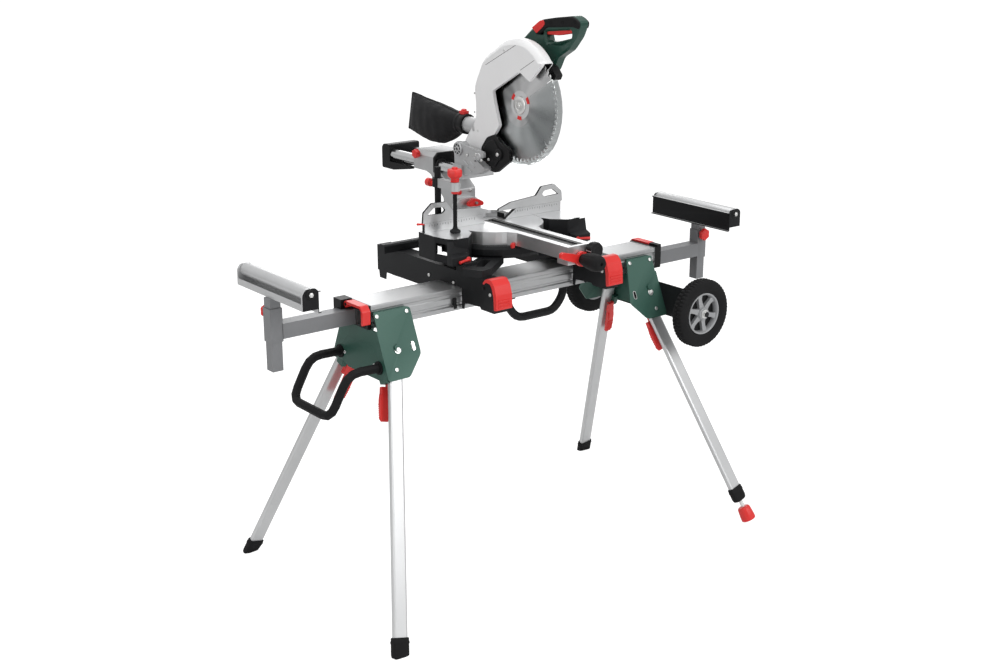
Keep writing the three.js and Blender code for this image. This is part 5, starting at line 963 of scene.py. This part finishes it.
def makeTrestleDetails():
    for name, spots in trestleBolts.items():
        bolts, pivot, slot = spots["bolts"], spots["pivot"], spots["slot"]
        bright, dark = bmesh.new(), bmesh.new()
        for end in (-1, 1):
            axis = Vector((0, end, splay)).normalized()
            for x, z in bolts:
                addBolt(bright, onPlate(x, z, end, 0.05), axis, 5.6, 3.0)
            addTurned(bright, onPlate(*pivot, end, 0.05), axis, [(9.4, 0), (9.4, 1.4), (7.0, 1.5)], 36)
            addTurned(bright, onPlate(*pivot, end, 1.4), axis,
                      [(6.6, 0), (6.6, 4.2), (5.6, 5.0), (3.6, 5.0)], 6)
            addTurned(bright, onPlate(*pivot, end, 6.4), axis, [(3.4, -1), (3.4, 1.0), (2.7, 1.6)], 20)
            across, up = Vector((1, 0, 0)), axis.cross(Vector((1, 0, 0)))
            # the zinc ring lines each slot; the dark sheet inside it is painted shade in the slot's opening
            for target, half, tall, out in ((bright, 5.6, 12.5, 0.5), (dark, 4.2, 11, 0.62)):
                if name == "left" and target is dark:
                    half, tall = 1.0, 12
                ring = []
                for k in range(28):
                    a = 2 * math.pi * k / 28
                    shift = Vector((0, 0, 0)) if name == "right" or target is bright else across * -4.2
                    rise = half * math.sin(a) + math.copysign(tall - half, math.sin(a))
                    ring.append(across * half * math.cos(a) + up * rise + shift)
                low = onPlate(*slot, end, -0.4)
                high = onPlate(*slot, end, out)
                addRings(target, [[low + p for p in ring], [high + p for p in ring]])
        newPiece("trestle_bolts_" + name, bright, "zincSteel", "stand", edge=0.3)
        newPiece("trestle_slot_shade_" + name, dark, "seamShadow", "stand")
    mesh = bmesh.new()
    low = [(-133, 617.6), (-110, 613), (55, 613), (113, 641), (60, 700), (-60, 700)]
    addSlab(mesh, rounded(low, 3, 2), "x", endPanel["outer"], endPanel["inner"])
    newPiece("trestle_end_panel", mesh, "greenPaint", "stand", edge=0.5)
    mesh = bmesh.new()
    for y in (-70, 70):
        addBolt(mesh, (endPanel["outer"], y, 650), (-1, 0, 0), 4.6, 3)
    newPiece("trestle_panel_bolts", mesh, "zincSteel", "stand", edge=0.3)
    mesh = bmesh.new()
    for x in (-237.5, 243):
        addBox(mesh, (x - 5, x + 5), (-60, -53.2), (757, 779))
        addBox(mesh, (x - 5, x + 5), (-62, -58), (750, 762))
    newPiece("beam_clips", mesh, "blackPlastic", "stand", edge=1.0)


# leg levers, each on its trestle's lug beside the leg, then the foot that screws and the foot shoes
leg = dict(top=690, foot=379, half=8, leverTop=84, leverHub=9.2,
           left=dict(x=-457, y=92.5, footX=-653, out=20), right=dict(x=438, y=69, footX=620, out=9))
levers = {
    "front_left": dict(shift=20, half=9, length=102), "front_right": dict(shift=15, half=10, length=104),
    "rear_left": dict(shift=24, half=12, length=118), "rear_right": dict(shift=3, half=11, length=114),
}


def legFrame(name):
    end, side = name.split("_")
    way, sizes = (-1 if end == "front" else 1), leg[side]
    pivot = Vector((sizes["x"], way * sizes["y"], leg["top"]))
    down = (Vector((sizes["footX"], way * leg["foot"], 0)) - pivot).normalized()
    normal = Vector((0, -down.z * way, abs(down.y))).normalized()
    return pivot, normal.cross(-down), normal, -down, sizes


def makeLegLever(name):
    pivot, across, normal, up, sizes = legFrame(name)
    pinY, pinZ = -leg["half"] - sizes["out"], -leg["leverTop"]

    def layer(points, low, high):
        rings = [[pivot + across * a + normal * (pinY + n) + up * (pinZ + z) for n, z in points]
                 for a in (low, high)]
        addRings(mesh, rings)

    mesh = bmesh.new()
    layer(rounded([(-6, 6), (4.5, 6), (4.5, -30), (-8, -30)], 3, 3), -leg["leverHub"], leg["leverHub"])
    shift, half, length = (levers[name][key] for key in ("shift", "half", "length"))
    back = [(4.2, -12), (4.2, -42), (1.5, -length + 4), (-0.5, -length), (-5, -length)]
    grip = []
    for k in range(8):
        z = -length + 5 + k * 5.6
        grip += [(-9.5 - 0.25 * k, z), (-9.7 - 0.25 * k, z + 2.6), (-7.4 - 0.25 * k, z + 3.2),
                 (-7.4 - 0.25 * k, z + 5)]
    layer(back + grip + [(-11, -48), (-7, -12)], min(6, shift - half + 3), shift + half - 3)
    skin = [(2.6, -34), (0.2, -length + 5), (-5, -length + 4)] + grip[4:] + [(-9, -46), (-5, -30)]
    layer(skin, shift + half - 3.2, shift + half)
    layer(skin, shift - half, shift - half + 3.2)
    piece = newPiece("lever_" + name, mesh, "redPlastic", "leg_lever_" + name, edge=1.0, sharp=30)
    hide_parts("leg_lever_" + name)


screwFoot = dict(radius=21.5, low=12, high=55, stud=6, top=82)


def makeScrewFoot():
    up, sizes = legFrame("front_right")[3:]
    base = Vector((sizes["footX"], -leg["foot"], 0))
    r, low, high, stud = (screwFoot[key] for key in ("radius", "low", "high", "stud"))

    def knurl(angle, radius, along):
        return 0.45 * math.sin(24 * angle) if low + 4 < along < high - 4 else 0

    mesh = bmesh.new()
    cup = [(r - 2, low), (r, low + 2), (r - 0.4, low + 12), (r - 2.4, high - 6), (r - 4, high - 2),
           (r - 7, high), (stud, high + 0.5)]
    addTurned(mesh, base, up, cup, 72, wave=knurl)
    addTurned(mesh, base, up, [(stud, high - 1), (stud, screwFoot["top"])], 32, tint=1)
    for vertex in mesh.verts:
        vertex.co.z = max(vertex.co.z, 0.2)
    piece = newPiece("levelling_foot_cup", mesh, ["redPlastic", "zincSteel"], "levelling_foot")
    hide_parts("levelling_foot")


footCap = dict(halfWidth=23.2, halfDepth=11.4, height=45, raised=76)


def makeFootCap(name):
    across, normal, up, sizes = legFrame(name)[1:]
    raised = footCap["raised"] if name == "front_right" else 0
    way = 1 if normal.y > 0 else -1
    base = Vector((sizes["footX"], way * leg["foot"], 0)) + up * raised
    tall = footCap["height"]
    mesh = bmesh.new()
    rings = []
    sole = [(0, 0.6), (2, 0.84), (6, 0.95), (12, 1.0)] if raised else [(-14, 0.5), (-11, 0.78), (-5, 0.94),
                                                                       (2, 1.0)]
    cuff = [(tall - 16, 1.0), (tall - 14, 1.05), (tall - 10, 1.05), (tall - 8, 1.0), (tall - 2, 1.0),
            (tall, 0.93)]
    for along, share in sole + cuff:
        ring = []
        for k in range(48):
            a = 2 * math.pi * k / 48
            u = math.copysign(abs(math.cos(a)) ** 0.45, math.cos(a)) * footCap["halfWidth"] * share
            v = math.copysign(abs(math.sin(a)) ** 0.45, math.sin(a)) * footCap["halfDepth"] * share
            ring.append(base + across * u + normal * v + up * along)
        rings.append(ring)
    addRings(mesh, rings)
    for vertex in mesh.verts:
        vertex.co.z = max(vertex.co.z, 0.2)
    bmesh.ops.dissolve_degenerate(mesh, dist=0.01, edges=mesh.edges)
    piece = newPiece("foot_shoe_" + name, mesh, "tyreRubber", "leg_" + name)
    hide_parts("foot_cap_" + name)


# the levers that clamp the saw brackets, hooked over the front ends of the channels
bracketLever = dict(left=-190, right=202, low=-25, high=28, ribs=(781, 789, 797))


def makeBracketLever(name):
    x = bracketLever[name]
    low, high = x + bracketLever["low"], x + bracketLever["high"]
    mesh = bmesh.new()
    hook = [(-150, 836.5), (-160, 847), (-168, 851), (-185, 850.5), (-199, 837), (-207, 812), (-209, 773),
            (-198, 771), (-195, 808), (-188.5, 829), (-180, 839), (-162, 840), (-153, 832)]
    addSlab(mesh, rounded(hook, 3, 3), "x", low, high)
    cheek = [(-168, 849), (-185, 848.5), (-197, 836), (-204.5, 812), (-206, 784), (-192, 796), (-176, 824),
             (-166, 836)]
    addSlab(mesh, rounded(cheek, 3, 3), "x", high - 4, high - 0.4)
    for z in bracketLever["ribs"]:
        addBox(mesh, (low + 6, high - 6), (-210.4, -207), (z - 1.4, z + 1.4))
    piece = newPiece("bracket_hook_" + name, mesh, "redPlastic", "bracket_lever_" + name, edge=1.2, sharp=30)
    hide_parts("bracket_lever_" + name)


# saw brackets, the base, the fence's rule and the turntable's degree marks
fenceRule = dict(marks=18, first=72, pitch=9, top=21, half=0.45)
degreeMarks = dict(last=50, first=20, radius=149, low=-37.4, half=0.5)


def makeBracketDetails():
    mesh = bmesh.new()
    for middle in (bracketLever["left"], bracketLever["right"]):
        for side in (-1, 1):
            face = middle + side * 23
            for y, z in ((93, 808), (-20, 810), (-180, 810)):
                addBolt(mesh, (face, y, z), (side, 0, 0), 4.8, 3)
    newPiece("bracket_bolts", mesh, "zincSteel", "carriage", edge=0.3)
    mesh = bmesh.new()
    for x0, x1, y, z in ((-222, -190, -124, -55), (196, 238, -122, -56)):
        outer = x0 if x0 < 0 else x1
        inner = x1 if x0 < 0 else x0
        addTurned(mesh, (inner, y, z), (0, -1, 0), [(8, 0), (8, 5), (6.5, 7), (3, 7.4)], 28)
        addTube(mesh, [(inner, y - 5, z), ((inner + outer) / 2, y - 7, z - 1), (outer, y - 9, z - 3)],
                [4.6, 3.6, 4.2], 14)
    addTube(mesh, [(-237, 4, 24), (-250, 4, 25.4), (-262, 4, 27)], [3.2, 2.6, 3.4], 14)
    newPiece("base_levers", mesh, "redPlastic", "carriage", sawAt, edge=0.3)
    mesh = bmesh.new()
    for side in (-1, 1):
        for x, y in ((232, -82), (206, -104), (188, -96), (228, 12), (176, 12)):
            addBolt(mesh, (side * x, y, 0.02), (0, 0, 1), 3.6, 1.4)
    newPiece("base_screws", mesh, "zincSteel", "carriage", sawAt)
    mesh = bmesh.new()
    for side in (-1, 1):
        for k in range(fenceRule["marks"]):
            x = side * (fenceRule["first"] + fenceRule["pitch"] * k)
            tall = 7 if k % 5 == 0 else 4.5
            x0, x1 = x - fenceRule["half"], x + fenceRule["half"]
            foot, top = fenceRule["top"] - tall, fenceRule["top"]
            addSlab(mesh, [(x0, foot), (x1, foot), (x1, top), (x0, top)], "y", -0.14, 0.3)
    newPiece("fence_rule", mesh, "seamShadow", "carriage", sawAt)
    mesh = bmesh.new()
    outer, half = degreeMarks["radius"], degreeMarks["half"]
    for k in range(-degreeMarks["last"], degreeMarks["last"] + 1, 2):
        if abs(k) < degreeMarks["first"]:
            continue
        a = math.radians(k - 90)
        inner = outer - (6 if k % 10 == 0 else 3.4)
        u, w = Vector((math.cos(a), math.sin(a), 0)), Vector((-math.sin(a), math.cos(a), 0))
        quad = [u * outer + w * half, u * inner + w * half, u * inner - w * half, u * outer - w * half]
        addRings(mesh, [[p + Vector((0, 0, degreeMarks["low"] + rise)) for p in quad]
                        for rise in (0.8, 1.25)])
    newPiece("degree_scale", mesh, "seamShadow", "carriage", sawAt)
    mesh = bmesh.new()
    addTurned(mesh, (-49, -141, -33), (-0.5, -0.85, 0), [(6.5, 0), (6.5, 5), (5, 7.5), (2, 8)], 24)
    addBox(mesh, (-56, -45), (-146, -138), (-42, -30))
    newPiece("scale_pointer", mesh, "redPlastic", "turntable", sawAt, edge=0.8)
    mesh = bmesh.new()
    knobAt = (38, -364, -16)
    addTurned(mesh, knobAt, (0, -1, 0), [(9, -3), (10, 0), (21.4, 0.4), (22.2, 3), (22.2, 18), (20.8, 20.4),
                                         (12, 21), (8, 19.6)], 72, wave=lobes(8, 1.6))
    newPiece("detent_knob", mesh, "blackPlastic", "turntable", sawAt)


makeBlade()
for side in (-1, 1):
    makeWheel(side)
for name in ("left", "right"):
    makeRollerUnit(name)
    makeHeightKnob(name)
makeMitreGrip()
makeDustBag()
makeUpperGuard()
makeHandle()
makeSlideDetails()
makeClamp()
makeTrestleDetails()
for name in levers:
    makeLegLever(name)
    makeFootCap(name)
makeScrewFoot()
for name in ("left", "right"):
    makeBracketLever(name)
makeBracketDetails()
print("own pieces made")

# studio
studio = dict(floor=0.86, seenFloor=0.34, seenGlow=0.95, world=1.0, ambient=0.48, aim=(0, 0, 0.8),
              cameraAt=(-2446.8, -3056.8, 1833.8), tilt=17.19, turn=-38.227, sensor=36, lens=52.36)
# power, size and place of each lamp
lamps = dict(key=(120, 3.0, (1.2, -4.2, 3.2)), fill=(48, 3.0, (-4.2, -0.8, 2.2)),
             top=(84, 3.5, (0, 0.6, 4.6)), back=(36, 2.5, (2.5, 4.0, 2.4)))


def buildStudio():
    camera = bpy.data.objects.new("camera", bpy.data.cameras.new("camera"))
    scene.collection.objects.link(camera)
    scene.camera = camera
    camera.location = standAt(*studio["cameraAt"])
    camera.rotation_euler = (math.radians(90 - studio["tilt"]), 0, math.radians(studio["turn"]))
    camera.data.sensor_width = studio["sensor"]
    camera.data.lens = studio["lens"]
    camera.data.clip_end = 200
    world = bpy.data.worlds.new("studio")
    scene.world = world
    world.use_nodes = True
    tree = world.node_tree
    tree.nodes.clear()
    sort = tree.nodes.new("ShaderNodeLightPath")
    seen = tree.nodes.new("ShaderNodeMath")
    seen.operation = "MAXIMUM"
    tree.links.new(sort.outputs["Is Camera Ray"], seen.inputs[0])
    tree.links.new(sort.outputs["Is Transmission Ray"], seen.inputs[1])
    seenToo = tree.nodes.new("ShaderNodeMath")
    seenToo.operation = "MAXIMUM"
    tree.links.new(seen.outputs[0], seenToo.inputs[0])
    tree.links.new(sort.outputs["Is Glossy Ray"], seenToo.inputs[1])
    level = tree.nodes.new("ShaderNodeMapRange")
    level.inputs["To Min"].default_value = studio["ambient"]
    level.inputs["To Max"].default_value = studio["world"]
    tree.links.new(seenToo.outputs[0], level.inputs["Value"])
    sky = tree.nodes.new("ShaderNodeBackground")
    tree.links.new(level.outputs["Result"], sky.inputs["Strength"])
    out = tree.nodes.new("ShaderNodeOutputWorld")
    tree.links.new(sky.outputs["Background"], out.inputs["Surface"])

    bpy.ops.mesh.primitive_plane_add(size=160, location=(0, 0, -0.0005))
    floor = bpy.context.object
    floor.name = "studio_floor"
    material = bpy.data.materials.new("studioFloor")
    material.use_nodes = True
    tree = material.node_tree
    tree.nodes.clear()
    out = tree.nodes.new("ShaderNodeOutputMaterial")
    plain = tree.nodes.new("ShaderNodeBsdfDiffuse")
    plain.inputs["Color"].default_value = (studio["floor"],) * 3 + (1,)
    pale = tree.nodes.new("ShaderNodeBsdfDiffuse")
    pale.inputs["Color"].default_value = (studio["seenFloor"],) * 3 + (1,)
    glow = tree.nodes.new("ShaderNodeEmission")
    glow.inputs["Strength"].default_value = studio["seenGlow"]
    lit = tree.nodes.new("ShaderNodeAddShader")
    tree.links.new(pale.outputs[0], lit.inputs[0])
    tree.links.new(glow.outputs[0], lit.inputs[1])
    sort = tree.nodes.new("ShaderNodeLightPath")
    pick = tree.nodes.new("ShaderNodeMixShader")
    tree.links.new(sort.outputs["Is Camera Ray"], pick.inputs[0])
    tree.links.new(plain.outputs[0], pick.inputs[1])
    tree.links.new(lit.outputs[0], pick.inputs[2])
    tree.links.new(pick.outputs[0], out.inputs["Surface"])
    floor.data.materials.append(material)

    middle = Vector(studio["aim"])
    for name, (power, size, place) in lamps.items():
        lamp = bpy.data.objects.new(name + "_lamp", bpy.data.lights.new(name, "AREA"))
        scene.collection.objects.link(lamp)
        lamp.data.energy = power
        lamp.data.size = size
        lamp.location = place
        lamp.rotation_euler = (middle - Vector(place)).to_track_quat("-Z", "Y").to_euler()
    scene.view_settings.view_transform = "Standard"


buildStudio()
print("studio ready")
